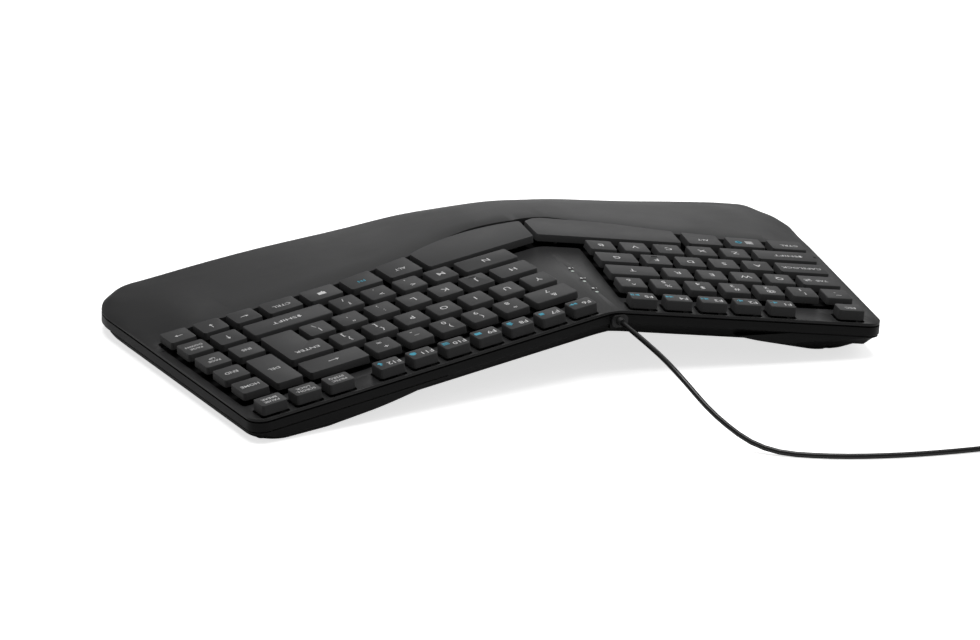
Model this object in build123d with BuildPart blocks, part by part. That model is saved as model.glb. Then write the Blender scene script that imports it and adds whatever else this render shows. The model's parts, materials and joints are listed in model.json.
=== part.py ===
from build123d import *
import math
import os

# Tented and splayed keyboard with a moulded palm rest, in millimetres.
# +X is the user's right, +Y is away from the user, +Z is up, and the desk is at Z = 0.
# Each half has its own plane: u runs outwards along the key rows, v runs away from the user
# and a depth is measured square to the key tops, downwards.

# Layout
key_pitch = 19.0
splay = 8.914  # turn of each half in plan, degrees
tent = 6.335  # slope of each half, outwards and down, degrees
ridge_height = 43.3  # where the key tops of both halves meet, on the row of the letter B
ridge_x = -30.0
ridge_y = -8.5
left, right = -1, 1

# Case outline, in the deck plane of each half
outer_u = {left: 161.8, right: 222.9}
rear_v = 84.5
front_v = -107.5
rear_corner = 9.0
front_corner = 35.0
rear_notch_round = 55.0
front_lobe_u = 36.0
front_lobe_round = 100.0
front_notch_x = 18.0
front_notch_y = -95.4
front_notch_round = 150.0

# Case, as depths below the key tops
deck_depth = 6.0
deck_round = 60.0
deck_plate = 2.0
lip = 1.3
groove_gap = 0.9
groove_inset = 1.0
belt_depth = 12.6
floor_depth = 20.0
front_bend_y = -45.0  # from here forwards the parting line falls away from the deck plane
front_fall = 0.095
wall = 2.2
under_slope = 7.4  # how far the floor stands in from the belt
foot_thickness = 1.0
foot_recess = 0.5

# Palm rest
palm_seam_v = -20.0
palm_rear_v = -26.0
palm_rise = 4.4  # above the deck plane at the front keys
palm_hill = 2.2  # more of it in front of the space bars
palm_hill_width = 40.0
palm_crown = 3.4  # how late the surface turns down towards the front edge
palm_front_rise = -0.1
palm_side_rise = 0.3
palm_side_width = 25.0
palm_dip = 4.9  # how far the middle of the front edge lies lower
palm_dip_width = 114.0
palm_roll = 1.7  # drop of the rolled front edge
palm_edge = 0.6  # least height of the cover's edge above the groove
palm_roll_width = 4.0
palm_skin = 2.2

# Key wells
well_rear_v = 65.6
well_inner_u = 21.7
well_outer_u = {left: 152.6, right: 219.5}
slot_gap = 0.9

# Keys
row_v = {"function": 77.4, "number": 57.0, "upper": 38.0, "home": 19.0, "lower": 0.0, "bottom": -18.2}
unit_width = 14.4
unit_depth = 14.0
function_width = 14.0
function_depth = 9.9
skirt = 3.8
draft_angle = 4.0
cap_wall = 1.2
corner_round = 1.3
stem_size = 4.0
stem_depth = 9.4
guide_depth = 9.0
homing_bar = (3.6, 0.7, 0.35)

# Stabiliser wire of a space bar
wire_radius = 0.6
wire_depth = 3.9
wire_v = -14.2
wire_arm = 3.6
wire_bend = 1.6
lug_size = (1.6, 2.6)
wire_spans = {"space_left": (4.0, 73.0), "space_right": (6.5, 60.5)}

# Inside
frame_top = deck_depth + deck_plate
frame_plate = 1.2
rail_top = 6.3
rail_width = 6.6
stem_hole = 4.3
dome_top = 9.45
sheet_top = 12.0
sheet_thickness = 0.3
membrane_thickness = 0.3
steel_thickness = 0.8
dome_foot = 4.2
dome_crown = 2.1
boss_radius = 3.0
boss_hole_radius = 3.5
screw_radius = 1.3
boss_joint_depth = 15.0
spine_half_width = 20.5

# Lead
lead_diameter = 2.8
lead_x = -2.3
lead_height = 30.2

os.makedirs("parts", exist_ok=True)

sin_a, cos_a = math.sin(math.radians(splay)), math.cos(math.radians(splay))
sin_t, cos_t = math.sin(math.radians(tent)), math.cos(math.radians(tent))
ridge = Vector(ridge_x, ridge_y, ridge_height)
straight_down = (0, 0, -1)


def along_u(side):
    return Vector(side * cos_t * cos_a, cos_t * sin_a, -sin_t)


def along_v(side):
    return Vector(-side * sin_a, cos_a, 0)


def upward(side):
    return Vector(side * sin_t * cos_a, sin_t * sin_a, cos_t)


def key_plane(side, depth=0.0):
    """Plane parallel to the key tops of one half, reached square to them; its x is u times side."""
    return Plane(origin=ridge - upward(side) * depth, x_dir=along_u(side) * side, z_dir=upward(side))


def drop_plane(side, depth):
    """The same plane reached straight down, so that upright walls keep their u and v."""
    centre = ridge - Vector(0, 0, depth / cos_t)
    return Plane(origin=centre, x_dir=along_u(side) * side, z_dir=upward(side))


def in_half(x, y):
    """u and v of a point given in plan from the ridge, with x counted outwards."""
    return (x * cos_a + y * sin_a) / cos_t, y * cos_a - x * sin_a


def ridge_u(v):
    """u of the plane of symmetry at this v."""
    return v * sin_a / cos_a / cos_t


def half_face(side, plane, corners, radii):
    """Face with these corners in u and v, each rounded by its own radius."""
    with BuildSketch(plane) as sketch:
        with BuildLine():
            FilletPolyline(*[(side * u, v) for u, v in corners], radius=radii, close=True)
        make_face()
    return sketch.sketch


def outline_face(side, plane, inset):
    """One half of the case outline, drawn in by the inset; both halves meet in the plane of symmetry."""
    rear = rear_v - inset
    front = front_v + inset
    outer = outer_u[side] - inset
    rear_round = rear_notch_round + inset
    rear_middle = rear / cos_a + 1.05 * rear_round * math.tan(math.radians(splay / 2)) * sin_a / cos_a
    corners = [
        in_half(0, rear_middle),
        ((rear_middle - rear * cos_a) / cos_t / sin_a, rear),
        (outer, rear),
        (outer, front),
        (front_lobe_u, front),
        in_half(front_notch_x, front_notch_y + inset),
        in_half(0, front_notch_y + inset),
    ]
    radii = [
        0,
        rear_round,
        max(rear_corner - inset, 1),
        front_corner - inset,
        front_lobe_round - inset,
        front_notch_round + inset,
        0,
    ]
    return half_face(side, plane, corners, radii)


def upright_body(inset, top=15.0, height=75.0):
    """The case outline as a body with upright walls."""
    with BuildPart() as body:
        for side in (left, right):
            extrude(outline_face(side, drop_plane(side, -top), inset), amount=height, dir=straight_down)
    return body.part


def roof_face(plane, apex_round):
    fall = sin_t * cos_a / math.hypot(sin_t * sin_a, cos_t)
    reach = 280
    low = -150
    with BuildSketch(plane) as sketch:
        with BuildLine():
            eaves = -reach * fall
            Polyline((-reach, eaves), (0, 0), (reach, eaves), (reach, low), (-reach, low), close=True)
        make_face()
        if apex_round:
            fillet(sketch.vertices().sort_by(Axis.Y)[-1], apex_round)
    return sketch.sketch


def space_below(depth, apex_round=0, extra_fall=0):
    """All the space below both deck-parallel planes, which bend down again in front of the bend."""
    reach = 300
    ridge_pitch = math.atan(sin_a * sin_t / cos_t)
    top = ridge - Vector(0, 0, depth / cos_t)
    with BuildPart() as space:
        plane = Plane(origin=top, x_dir=(1, 0, 0), z_dir=(0, -math.cos(ridge_pitch), math.sin(ridge_pitch)))
        extrude(roof_face(plane, apex_round), amount=reach, both=True)
        if extra_fall:
            bend = top + Vector(0, front_bend_y, -front_bend_y * math.tan(ridge_pitch))
            pitch = math.atan(math.tan(ridge_pitch) - extra_fall)
            plane = Plane(origin=bend, x_dir=(1, 0, 0), z_dir=(0, -math.cos(pitch), math.sin(pitch)))
            extrude(roof_face(plane, apex_round), amount=reach, both=True, mode=Mode.INTERSECT)
    return space.part


# Palm rest surface

def smooth_step(t):
    t = min(max(t, 0), 1)
    return t * t * (3 - 2 * t)


def front_edge_y(x):
    """Plan distance of the front edge from the ridge point at this x, without the corners."""
    lobe_x = front_lobe_u * cos_t * cos_a - front_v * sin_a
    if x > lobe_x:
        return front_v / cos_a + x * sin_a / cos_a
    lobe_y = front_v / cos_a + lobe_x * sin_a / cos_a
    return lobe_y + (front_notch_y - lobe_y) * (1 + math.cos(math.pi * x / lobe_x)) / 2


def edge_distance(side, x, y):
    """How far inside the case outline a plan point lies, near the front edge and the outer side."""
    u, v = in_half(x, y)
    from_side = outer_u[side] - u
    from_front = (y - front_edge_y(x)) * cos_a
    if from_side < front_corner and from_front < front_corner:
        return front_corner - math.hypot(front_corner - from_side, front_corner - from_front)
    return min(from_side, from_front)


def palm_height(side, x, y):
    """Height of the palm rest over the ridge point; x is counted outwards."""
    u, v = in_half(x, y)
    start = palm_rear_v / cos_a + x * sin_a / cos_a
    along = min(max((start - y) / (start - front_edge_y(x)), 0), 1.1)
    rear_rise = palm_rise + palm_hill * math.exp(-((x / palm_hill_width) ** 4))
    front_rise = palm_front_rise - palm_dip * math.exp(-((x / palm_dip_width) ** 4))
    rise = rear_rise + (front_rise - rear_rise) * along**palm_crown
    side_blend = smooth_step((outer_u[side] - u) / palm_side_width)
    rise = rise * side_blend + palm_side_rise * smooth_step(1.6 * along) * (1 - side_blend)
    beyond = min(1 - edge_distance(side, x, y) / palm_roll_width, 2.0)
    if beyond > 0:
        fall = front_fall * max(front_bend_y - y, 0)
        rise -= min(palm_roll, lip - palm_edge + fall) * beyond**2 * smooth_step((-30 - v) / 35)
    rounded_x = math.hypot(x, 12)
    depth = deck_depth - rise
    return -(depth + sin_t * cos_a * rounded_x + sin_t * sin_a * y) / cos_t


def palm_section(x, lower, seam_shift):
    """Upright section of the palm rest body, lowered by this much."""
    side = right if x > 0 else left
    out = abs(x)
    rear = (palm_seam_v + seam_shift) / cos_a + out * sin_a / cos_a
    front = front_edge_y(out)
    fractions = (0, 0.2, 0.4, 0.58, 0.72, 0.83, 0.91, 0.96, 1.0, 1.05)
    rows = [rear + (front - rear) * f for f in fractions]
    bottom = -75
    plane = Plane(origin=(ridge_x + x, ridge_y, ridge_height), x_dir=(0, 1, 0), z_dir=(1, 0, 0))
    with BuildSketch(plane) as sketch:
        with BuildLine():
            top = Spline(*[(y, palm_height(side, out, y) - lower) for y in rows])
            Polyline(top @ 1, (rows[-1], bottom), (rows[0], bottom), top @ 0)
        make_face()
    return sketch.sketch


def palm_body(lower=0.0, seam_shift=3.0):
    """Everything below the palm rest surface, from the seam under the front keys to past the front edge."""
    left_stations = (-182, -176, -169, -160, -147, -130, -108)
    middle_stations = (-84, -62, -42, -21, 0, 21, 42, 62, 84)
    right_stations = (108, 132, 156, 180, 202, 216, 225, 233, 241)
    with BuildPart() as body:
        loft([palm_section(x, lower, seam_shift) for x in left_stations + middle_stations + right_stations])
    return body.part


# Keys, by their tops: corners in u and v, the rounding of each corner and the places of the plungers

def block(u_in, u_out, v_front, v_rear):
    corners = [(u_in, v_front), (u_out, v_front), (u_out, v_rear), (u_in, v_rear)]
    middle = ((u_in + u_out) / 2, (v_front + v_rear) / 2)
    return corners, [corner_round] * 4, middle


def unit_key(row, u, width=unit_width, depth=unit_depth):
    return block(u - width / 2, u + width / 2, row_v[row] - depth / 2, row_v[row] + depth / 2)


def unit_keys(row, first_u, count):
    return [unit_key(row, first_u + key_pitch * k) for k in range(count)]


def function_keys(first_u, count):
    places = [first_u + key_pitch * k for k in range(count)]
    return [unit_key("function", u, function_width, function_depth) for u in places]


def row_block(row, u_in, u_out):
    return block(u_in, u_out, row_v[row] - unit_depth / 2, row_v[row] + unit_depth / 2)


def bottom_block(u_in, u_out, front_in, front_out, rear=-11.3):
    corners = [(u_in, front_in), (u_out, front_out), (u_out, rear), (u_in, rear)]
    return corners, [corner_round] * 4, ((u_in + u_out) / 2, row_v["bottom"])


bar_v = -21.8
left_bar_corners = [(-2.3, -11.3), (78.9, -11.3), (78.9, -29.8), (42.0, -37.4), (3.4, -39.6), (-4.0, -31.9)]
left_bar_radii = [corner_round, corner_round, corner_round, 110, 13, 2]
right_bar_corners = [(1.5, -11.3), (66.0, -10.9), (65.9, -32.1), (30.7, -44.4), (-3.6, -33.4)]
right_bar_radii = [corner_round, corner_round, corner_round, 98, 2]
enter_corners = [(162.5, 12.0), (180.3, 12.0), (180.3, 45.0), (156.2, 45.0), (156.2, 29.4), (162.5, 29.4)]
enter_radii = [corner_round] * 5 + [0.8]

key_groups = {
    "function_keys_left": (left, function_keys(30.1, 5)),
    "function_keys_right": (right, function_keys(30.1, 7)),
    "number_keys_left": (left, unit_keys("number", 29.96, 7)),
    "number_keys_right": (right, [row_block("number", 22.7, 47.5)] + unit_keys("number", 59.15, 5)),
    "upper_row_left": (left, [row_block("upper", 22.8, 49.8)] + unit_keys("upper", 61.47, 4)),
    "upper_row_right": (right, [row_block("upper", 22.7, 38.0)] + unit_keys("upper", 49.66, 6)),
    "home_row_left": (left, [row_block("home", 22.8, 43.8)] + unit_keys("home", 55.48, 4)),
    "home_row_right": (right, [row_block("home", 22.7, 44.5)] + unit_keys("home", 56.16, 6)),
    "lower_row_left": (left, unit_keys("lower", 30.03, 5)),
    "lower_row_right": (right, [row_block("lower", 22.6, 54.5)] + unit_keys("lower", 66.14, 4)),
    "esc": (left, [unit_key("function", 144.2, function_width, function_depth)]),
    "tab": (left, [row_block("upper", 130.1, 151.2)]),
    "caps_lock": (left, [row_block("home", 124.1, 151.2)]),
    "left_shift": (left, [row_block("lower", 117.7, 151.2)]),
    "left_ctrl": (left, [bottom_block(132.0, 151.4, -25.1, -25.1)]),
    "left_menu": (left, [bottom_block(108.0, 127.4, -25.8, -25.1)]),
    "left_alt": (left, [bottom_block(83.8, 103.1, -29.2, -26.6)]),
    "space_left": (left, [(left_bar_corners, left_bar_radii, (38.0, bar_v))]),
    "space_right": (right, [(right_bar_corners, right_bar_radii, (31.5, bar_v))]),
    "right_alt": (right, [bottom_block(70.0, 89.3, -31.2, -28.5)]),
    "fn": (right, [bottom_block(94.1, 112.9, -27.8, -25.6)]),
    "assistant_key": (right, [bottom_block(118.0, 137.2, -25.1, -25.1)]),
    "right_ctrl": (right, [bottom_block(141.8, 161.2, -25.1, -25.1)]),
    "right_shift": (right, [row_block("lower", 134.8, 180.4)]),
    "enter": (right, [(enter_corners, enter_radii, (171.4, 28.5))]),
    "backspace": (right, [row_block("number", 146.7, 180.2)]),
    "insert": (right, [row_block("home", 184.6, 199.2)]),
    "delete": (right, [block(184.6, 199.1, 31.0, 63.9)]),
    "home": (right, [row_block("number", 203.6, 217.9)]),
    "end": (right, [row_block("upper", 203.7, 218.0)]),
    "page_up": (right, [row_block("home", 203.8, 218.0)]),
    "page_down": (right, [row_block("lower", 203.8, 218.1)]),
    "arrow_up": (right, [row_block("lower", 184.8, 199.3)]),
    "arrow_left": (right, [bottom_block(165.7, 180.3, -25.1, -25.1)]),
    "arrow_down": (right, [bottom_block(184.9, 199.4, -25.1, -25.1)]),
    "arrow_right": (right, [bottom_block(203.9, 218.3, -25.1, -25.1)]),
    "print_screen": (right, [unit_key("function", 172.9, function_width, function_depth)]),
    "scroll_lock": (right, [unit_key("function", 191.6, function_width, function_depth)]),
    "pause": (right, [unit_key("function", 210.7, function_width, function_depth)]),
}
homing_keys = {"home_row_left": 55.48, "home_row_right": 56.16}


def width_of(corners):
    return max(u for u, v in corners) - min(u for u, v in corners)


def guide_places(corners, middle):
    """Plain legs that keep a wide key level, beside its plunger."""
    width = width_of(corners)
    if width < 24:
        return []
    step = width / 2 - (9 if width > 50 else 6)
    return [(middle[0] - step, middle[1]), (middle[0] + step, middle[1])]


def tall_guides(name):
    """Legs of the two keys that span two rows."""
    if name == "enter":
        return [(171.4, 17.5), (171.4, 39.5)]
    if name == "delete":
        return [(191.85, 36.5), (191.85, 58.5)]
    return []


def all_legs(side):
    """Every plunger and guide leg of one half: u, v and whether the key stands on a rail."""
    legs = []
    for name, (key_side, tops) in key_groups.items():
        if key_side != side:
            continue
        for corners, radii, middle in tops:
            for place in [middle] + guide_places(corners, middle) + tall_guides(name):
                legs.append((place[0], place[1], place == middle))
    return legs


for name, (side, tops) in key_groups.items():
    with BuildPart() as caps:
        with BuildSketch(key_plane(side)):
            for corners, radii, middle in tops:
                with BuildLine():
                    FilletPolyline(*[(side * u, v) for u, v in corners], radius=radii, close=True)
                make_face()
        extrude(amount=-skirt, taper=-draft_angle)
        with BuildSketch(key_plane(side, cap_wall)):
            for corners, radii, middle in tops:
                with BuildLine():
                    Polyline(*[(side * u, v) for u, v in corners], close=True)
                make_face()
            offset(amount=-cap_wall, kind=Kind.INTERSECTION)
        extrude(amount=-skirt, mode=Mode.SUBTRACT)
        with BuildSketch(key_plane(side, cap_wall)):
            with Locations(*[(side * middle[0], middle[1]) for corners, radii, middle in tops]):
                Rectangle(stem_size, stem_size)
        extrude(amount=cap_wall - stem_depth)
        legs = tall_guides(name)
        for corners, radii, middle in tops:
            legs += guide_places(corners, middle)
        if legs:
            with BuildSketch(key_plane(side, cap_wall)):
                with Locations(*[(side * u, v) for u, v in legs]):
                    Rectangle(stem_size, stem_size)
            extrude(amount=cap_wall - guide_depth)
        if name in homing_keys:
            with BuildSketch(key_plane(side)):
                with Locations((side * homing_keys[name], row_v["home"] - 4.6)):
                    SlotOverall(homing_bar[0], homing_bar[1])
            extrude(amount=homing_bar[2])
        if name in wire_spans:
            with BuildSketch(key_plane(side, cap_wall)):
                start, end = wire_spans[name]
                with Locations((side * (start + 5), wire_v), (side * (end - 5), wire_v)):
                    Rectangle(lug_size[0], lug_size[1])
            extrude(amount=cap_wall - wire_depth - 1.4)
            wire_start = key_plane(side, wire_depth).from_local_coords((0, wire_v, 0))
            with BuildSketch(Plane(wire_start, z_dir=along_u(side))):
                Circle(wire_radius)
            extrude(amount=100, mode=Mode.SUBTRACT)
    caps.part.label = name
    export_step(caps.part, f"parts/{name}.step")

for name, (start, end) in wire_spans.items():
    side = key_groups[name][0]
    corners = [(start, wire_v - wire_arm), (start, wire_v), (end, wire_v), (end, wire_v - wire_arm)]
    with BuildPart() as wire:
        with BuildLine(key_plane(side, wire_depth)) as wire_path:
            FilletPolyline(*[(side * u, v) for u, v in corners], radius=wire_bend)
        with BuildSketch(Plane(wire_path.line @ 0, z_dir=wire_path.line % 0)):
            Circle(wire_radius)
        sweep(path=wire_path.line)
    wire_name = f"{name}_stabiliser"
    wire.part.label = wire_name
    export_step(wire.part, f"parts/{wire_name}.step")


# Cover, case and sheets

def region(side, corners, top=-15.0, height=75.0):
    """Upright body over a polygon of one half, in u and v."""
    with BuildPart() as body:
        face = half_face(side, drop_plane(side, top), corners, [0] * len(corners))
        extrude(face, amount=height, dir=straight_down)
    return body.part


def front_region(side, rear_line):
    """Everything of one half in front of a line of u and v points."""
    return region(side, rear_line + [(270, -170), (ridge_u(-170), -170)], top=-25.0, height=130.0)


def sheet_corners(side, margin, middle_gap=0.0):
    """Outline of the flat sheets under the keys of one half."""
    rear = rear_v - margin
    outer = outer_u[side] - margin
    gap = middle_gap / cos_a
    return [
        (spine_half_width, rear),
        (outer, rear),
        (outer, -31.0),
        (102.0, -31.5),
        (76.0, -41.0),
        (ridge_u(-42.5) + gap, -42.5),
        (ridge_u(6.0) + gap, 6.0),
        (spine_half_width, 6.0),
    ]


def sheet(side, corners, top, bottom):
    with BuildPart() as plate:
        face = half_face(side, drop_plane(side, top), corners, [2, 7, 4, 30, 30, 0, 0, 2])
        extrude(face, amount=(bottom - top) / cos_t, dir=straight_down)
    return plate.part


def pegs(side, places, radius, top, bottom):
    """Round pegs or holes square to the deck."""
    with BuildPart() as group:
        with BuildSketch(key_plane(side, top)):
            with Locations(*[(side * u, v) for u, v in places]):
                Circle(radius)
        extrude(amount=top - bottom)
    return group.part


boss_v = 68.5
palm_boss_v = -70.0
rear_bosses = {
    left: [(39.6, boss_v), (96.6, boss_v), (140.0, boss_v)],
    right: [(39.6, boss_v), (115.6, boss_v), (198.0, boss_v)],
}
middle_bosses = {left: [(30.0, palm_boss_v)], right: [(30.0, palm_boss_v)]}
outer_bosses = {left: [(120.0, palm_boss_v)], right: [(110.0, palm_boss_v), (190.0, palm_boss_v)]}
all_bosses = {side: rear_bosses[side] + middle_bosses[side] + outer_bosses[side] for side in (left, right)}
well_corners = {
    left: [
        (well_inner_u, well_rear_v),
        (well_outer_u[left], well_rear_v),
        (well_outer_u[left], -26.1),
        (108.0, -26.5),
        (80.0, -31.0),
        (44.0, -38.2),
        (8.0, -40.9),
        (-8.5, -36.5),
        (-4.5, -9.6),
        (well_inner_u, -9.6),
    ],
    right: [
        (well_inner_u, well_rear_v),
        (well_outer_u[right], well_rear_v),
        (well_outer_u[right], -26.1),
        (112.0, -26.2),
        (66.5, -33.4),
        (30.7, -43.6),
        (-8.5, -35.6),
        (-4.5, -9.6),
        (well_inner_u, -9.6),
    ],
}
well_radii = {left: [2, 2, 2, 40, 60, 70, 20, 0, 0, 2], right: [2, 2, 2, 60, 12, 60, 0, 0, 2]}

parting = space_below(deck_depth + lip, 0, front_fall)
groove_floor = space_below(deck_depth + lip + groove_gap, 0, front_fall)
outer_body = upright_body(0)

palm = palm_body()
palm_inside = palm_body(lower=palm_skin, seam_shift=0.0)

with BuildPart() as palm_block:
    add(palm)
    add(outer_body, mode=Mode.INTERSECT)

with BuildPart() as palm_hollow:
    add(palm_inside)
    add(upright_body(wall + 1.0), mode=Mode.INTERSECT)
    for side in (left, right):
        rear_line = [(ridge_u(-47.0), -47.0), (64.0, -45.0), (118.0, -31.5), (270, -31.5)]
        add(region(side, rear_line + [(270, 170), (ridge_u(170), 170)], -25.0, 130.0), mode=Mode.SUBTRACT)

with BuildPart() as inner_plate:
    add(upright_body(wall + 0.4))
    add(parting, mode=Mode.INTERSECT)
    add(space_below(frame_top, 0, front_fall), mode=Mode.SUBTRACT)

slot_keys = {
    left: [(30.1 + key_pitch * k, row_v["function"]) for k in range(5)] + [(144.2, row_v["function"])],
    right: [(u, row_v["function"]) for u in [30.1 + key_pitch * k for k in range(7)] + [172.9, 191.6, 210.7]],
}
indicator_y = (28.4, 43.4, 58.9)
lens_radius = 0.9
lens_places = [(ridge_x - 2.2, ridge_y + y) for y in indicator_y]
board_top = ridge_height - 12.4
board_thickness = 1.6
light_height = 1.2

with BuildPart() as top_cover:
    add(outer_body)
    add(space_below(deck_depth, deck_round), mode=Mode.INTERSECT)
    for side in (left, right):
        add(front_region(side, [(ridge_u(palm_seam_v), palm_seam_v), (270, palm_seam_v)]), mode=Mode.SUBTRACT)
    add(palm_block.part)
    add(parting, mode=Mode.SUBTRACT)
    add(inner_plate.part)
    add(palm_hollow.part, mode=Mode.SUBTRACT)
    for side in (left, right):
        extrude(
            half_face(side, key_plane(side, -12.0), well_corners[side], well_radii[side]),
            amount=-(12.0 + frame_top + 0.5),
            mode=Mode.SUBTRACT,
        )
        with BuildSketch(key_plane(side, deck_depth - 1.0)):
            with Locations(*[(side * u, v) for u, v in slot_keys[side]]):
                RectangleRounded(function_width + 2 * slot_gap, function_depth + 2 * slot_gap, 1.6)
        extrude(amount=-(deck_plate + 1.5), mode=Mode.SUBTRACT)
        add(pegs(side, rear_bosses[side], boss_radius, deck_depth + 1.0, boss_joint_depth))
        add(pegs(side, middle_bosses[side], boss_radius, deck_depth - 0.1, boss_joint_depth))
        add(pegs(side, outer_bosses[side], boss_radius, deck_depth - 1.0, boss_joint_depth))
        screw_holes = pegs(side, all_bosses[side], screw_radius, deck_depth + 3.5, boss_joint_depth)
        add(screw_holes, mode=Mode.SUBTRACT)
    with BuildSketch(Plane.XY.offset(board_top)):
        with Locations(*lens_places):
            Circle(lens_radius)
    extrude(amount=20, mode=Mode.SUBTRACT)
top_cover.part.label = "top_cover"
export_step(top_cover.part, "parts/top_cover.step")

with BuildPart() as indicator_lenses:
    with BuildSketch(Plane.XY.offset(board_top + light_height)):
        with Locations(*lens_places):
            Circle(lens_radius)
    extrude(amount=20)
    add(space_below(deck_depth - 0.1, deck_round), mode=Mode.INTERSECT)
indicator_lenses.part.label = "indicator_lenses"
export_step(indicator_lenses.part, "parts/indicator_lenses.step")

with BuildPart() as indicator_lights:
    with BuildSketch(Plane.XY.offset(board_top)):
        with Locations(*lens_places):
            Rectangle(1.6, 2.4)
    extrude(amount=light_height)
indicator_lights.part.label = "indicator_lights"
export_step(indicator_lights.part, "parts/indicator_lights.step")

board_width = 13.0
board_front_y = 12.0
board_rear_y = 62.0
chip_size = (7.0, 7.0, 1.0)
board_middle = (ridge_x, ridge_y + (board_front_y + board_rear_y) / 2)
board_holes = [(ridge_x + 4.4, ridge_y + y) for y in (board_front_y + 3, board_rear_y - 3)]
with BuildPart() as controller_board:
    with BuildSketch(Plane.XY.offset(board_top)):
        with Locations(board_middle):
            Rectangle(board_width, board_rear_y - board_front_y)
        with Locations(*board_holes):
            Circle(1.2, mode=Mode.SUBTRACT)
    extrude(amount=-board_thickness)
    with BuildSketch(Plane.XY.offset(board_top)):
        with Locations((ridge_x + 1.5, ridge_y + 36.0)):
            Rectangle(chip_size[0], chip_size[1])
    extrude(amount=chip_size[2])
    with BuildSketch(Plane.XY.offset(board_top - board_thickness)):
        with Locations((ridge_x + lead_x, ridge_y + board_rear_y - 4.0)):
            Rectangle(7.0, 5.0)
        with Locations((ridge_x, ridge_y + board_front_y + 3.5)):
            Rectangle(11.0, 4.0)
    extrude(amount=-2.2)
controller_board.part.label = "controller_board"
export_step(controller_board.part, "parts/controller_board.step")

# Bottom case

belly = {
    left: {
        "foot": [(119.5, -62.0), (153.5, -62.0), (153.5, 65.0), (119.5, 68.0)],
        "spread": [(79.0, -96.0), (172.0, -96.0), (172.0, 92.0), (79.0, 92.0)],
    },
    right: {
        "foot": [(166.0, -72.0), (217.3, -72.0), (217.3, 84.0), (166.0, 77.5)],
        "spread": [(110.0, -100.0), (236.0, -100.0), (236.0, 97.0), (110.0, 93.0)],
    },
}
belly_height = 17.0
belly_round = 14.0
case_bottom = foot_thickness - foot_recess


def drawn_in(corner, middle, amount):
    """The corner moved towards the middle by this amount both ways."""
    return tuple(value - math.copysign(amount, value - centre) for value, centre in zip(corner, middle))


def belly_body(side, skin):
    """The swelling under one end that stands on the desk, drawn in by the skin on every side."""
    plan_axis = (cos_a, side * sin_a, 0)
    with BuildPart() as body:
        faces = []
        for name, height in (("foot", case_bottom + skin), ("spread", case_bottom + belly_height + skin)):
            plane = Plane(origin=(ridge_x, ridge_y, height), x_dir=plan_axis, z_dir=(0, 0, 1))
            middle = ((belly[side][name][0][0] + belly[side][name][2][0]) / 2, 0)
            corners = [drawn_in(corner, middle, skin) for corner in belly[side][name]]
            faces.append(half_face(side, plane, corners, [belly_round - skin] * 4))
        loft(faces, ruled=True)
    return body.part


def slope_body(inset, floor, floor_inset):
    """The sloping underside of both halves, from the belt to the floor."""
    with BuildPart() as body:
        for side in (left, right):
            belt = outline_face(side, drop_plane(side, belt_depth - 1.5), inset)
            extrude(belt, amount=1.5 / cos_t, dir=straight_down)
            loft(
                [
                    outline_face(side, drop_plane(side, belt_depth), inset),
                    outline_face(side, drop_plane(side, floor), floor_inset),
                ],
                ruled=True,
            )
    return body.part


def below_level(height):
    """Everything under this level above the desk."""
    with BuildPart() as space:
        with BuildSketch(Plane.XY.offset(height)):
            Rectangle(600, 400)
        extrude(amount=-60)
    return space.part


gland_width = 7.0
gland_height = 5.0
gland_outer_y = 86.65
gland_length = 6.15
gland_step = 1.0
gland_boss_length = 8.65
gland_mouth = Plane(
    origin=(ridge_x + lead_x, ridge_y + gland_outer_y, lead_height), x_dir=(-1, 0, 0), z_dir=(0, 1, 0)
)

with BuildPart() as case_outside:
    add(outer_body)
    add(space_below(belt_depth, 0, front_fall), mode=Mode.SUBTRACT)
    add(slope_body(0, floor_depth, under_slope))
    add(groove_floor, mode=Mode.INTERSECT)
    add(below_level(case_bottom), mode=Mode.SUBTRACT)
with BuildPart() as bellies:
    for side in (left, right):
        add(belly_body(side, 0))
    add(upright_body(0.6), mode=Mode.INTERSECT)
    add(space_below(belt_depth + 1.0, 0, front_fall), mode=Mode.INTERSECT)
with BuildPart() as gland_boss:
    with BuildSketch(gland_mouth):
        Rectangle(gland_width + 3.0, gland_height + 3.0)
    extrude(amount=-gland_boss_length)
    add(groove_floor, mode=Mode.INTERSECT)
with BuildPart() as tongue:
    add(upright_body(groove_inset))
    add(parting, mode=Mode.INTERSECT)
    add(groove_floor, mode=Mode.SUBTRACT)
with BuildPart() as case_inside:
    add(upright_body(wall))
    add(parting, mode=Mode.INTERSECT)
    add(space_below(belt_depth, 0, front_fall), mode=Mode.SUBTRACT)
    add(slope_body(wall, floor_depth - wall, under_slope + wall))
    add(below_level(case_bottom + wall), mode=Mode.SUBTRACT)
with BuildPart() as belly_hollows:
    for side in (left, right):
        add(belly_body(side, wall))
    add(upright_body(wall + 0.6), mode=Mode.INTERSECT)
    add(space_below(belt_depth + 1.0, 0, front_fall), mode=Mode.INTERSECT)

post_grid = {left: (4, 36.0, 88.0), right: (5, 40.0, 120.0)}
with BuildPart() as posts:
    for side in (left, right):
        count, step, middle_u = post_grid[side]
        with BuildSketch(key_plane(side, sheet_top + sheet_thickness + membrane_thickness + steel_thickness)):
            with Locations((side * middle_u, 20.0)):
                with GridLocations(step, 40.0, count, 3):
                    Circle(2.2)
        extrude(amount=-40)
        add(pegs(side, all_bosses[side], boss_radius + 0.6, boss_joint_depth, 50))
    with BuildSketch(Plane.XY.offset(board_top - board_thickness)):
        with Locations(board_middle):
            with GridLocations(board_width - 3.0, 32.0, 2, 2):
                Circle(1.4)
    extrude(amount=-20)
    add(case_outside.part + bellies.part, mode=Mode.INTERSECT)

head_depth = 18.0
foot_pads = {
    left: [(135.0, -44.0), (135.0, 49.0)],
    right: [(187.5, -44.0), (187.5, 60.0)],
}
pad_size = (20.0, 12.0)


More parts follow.
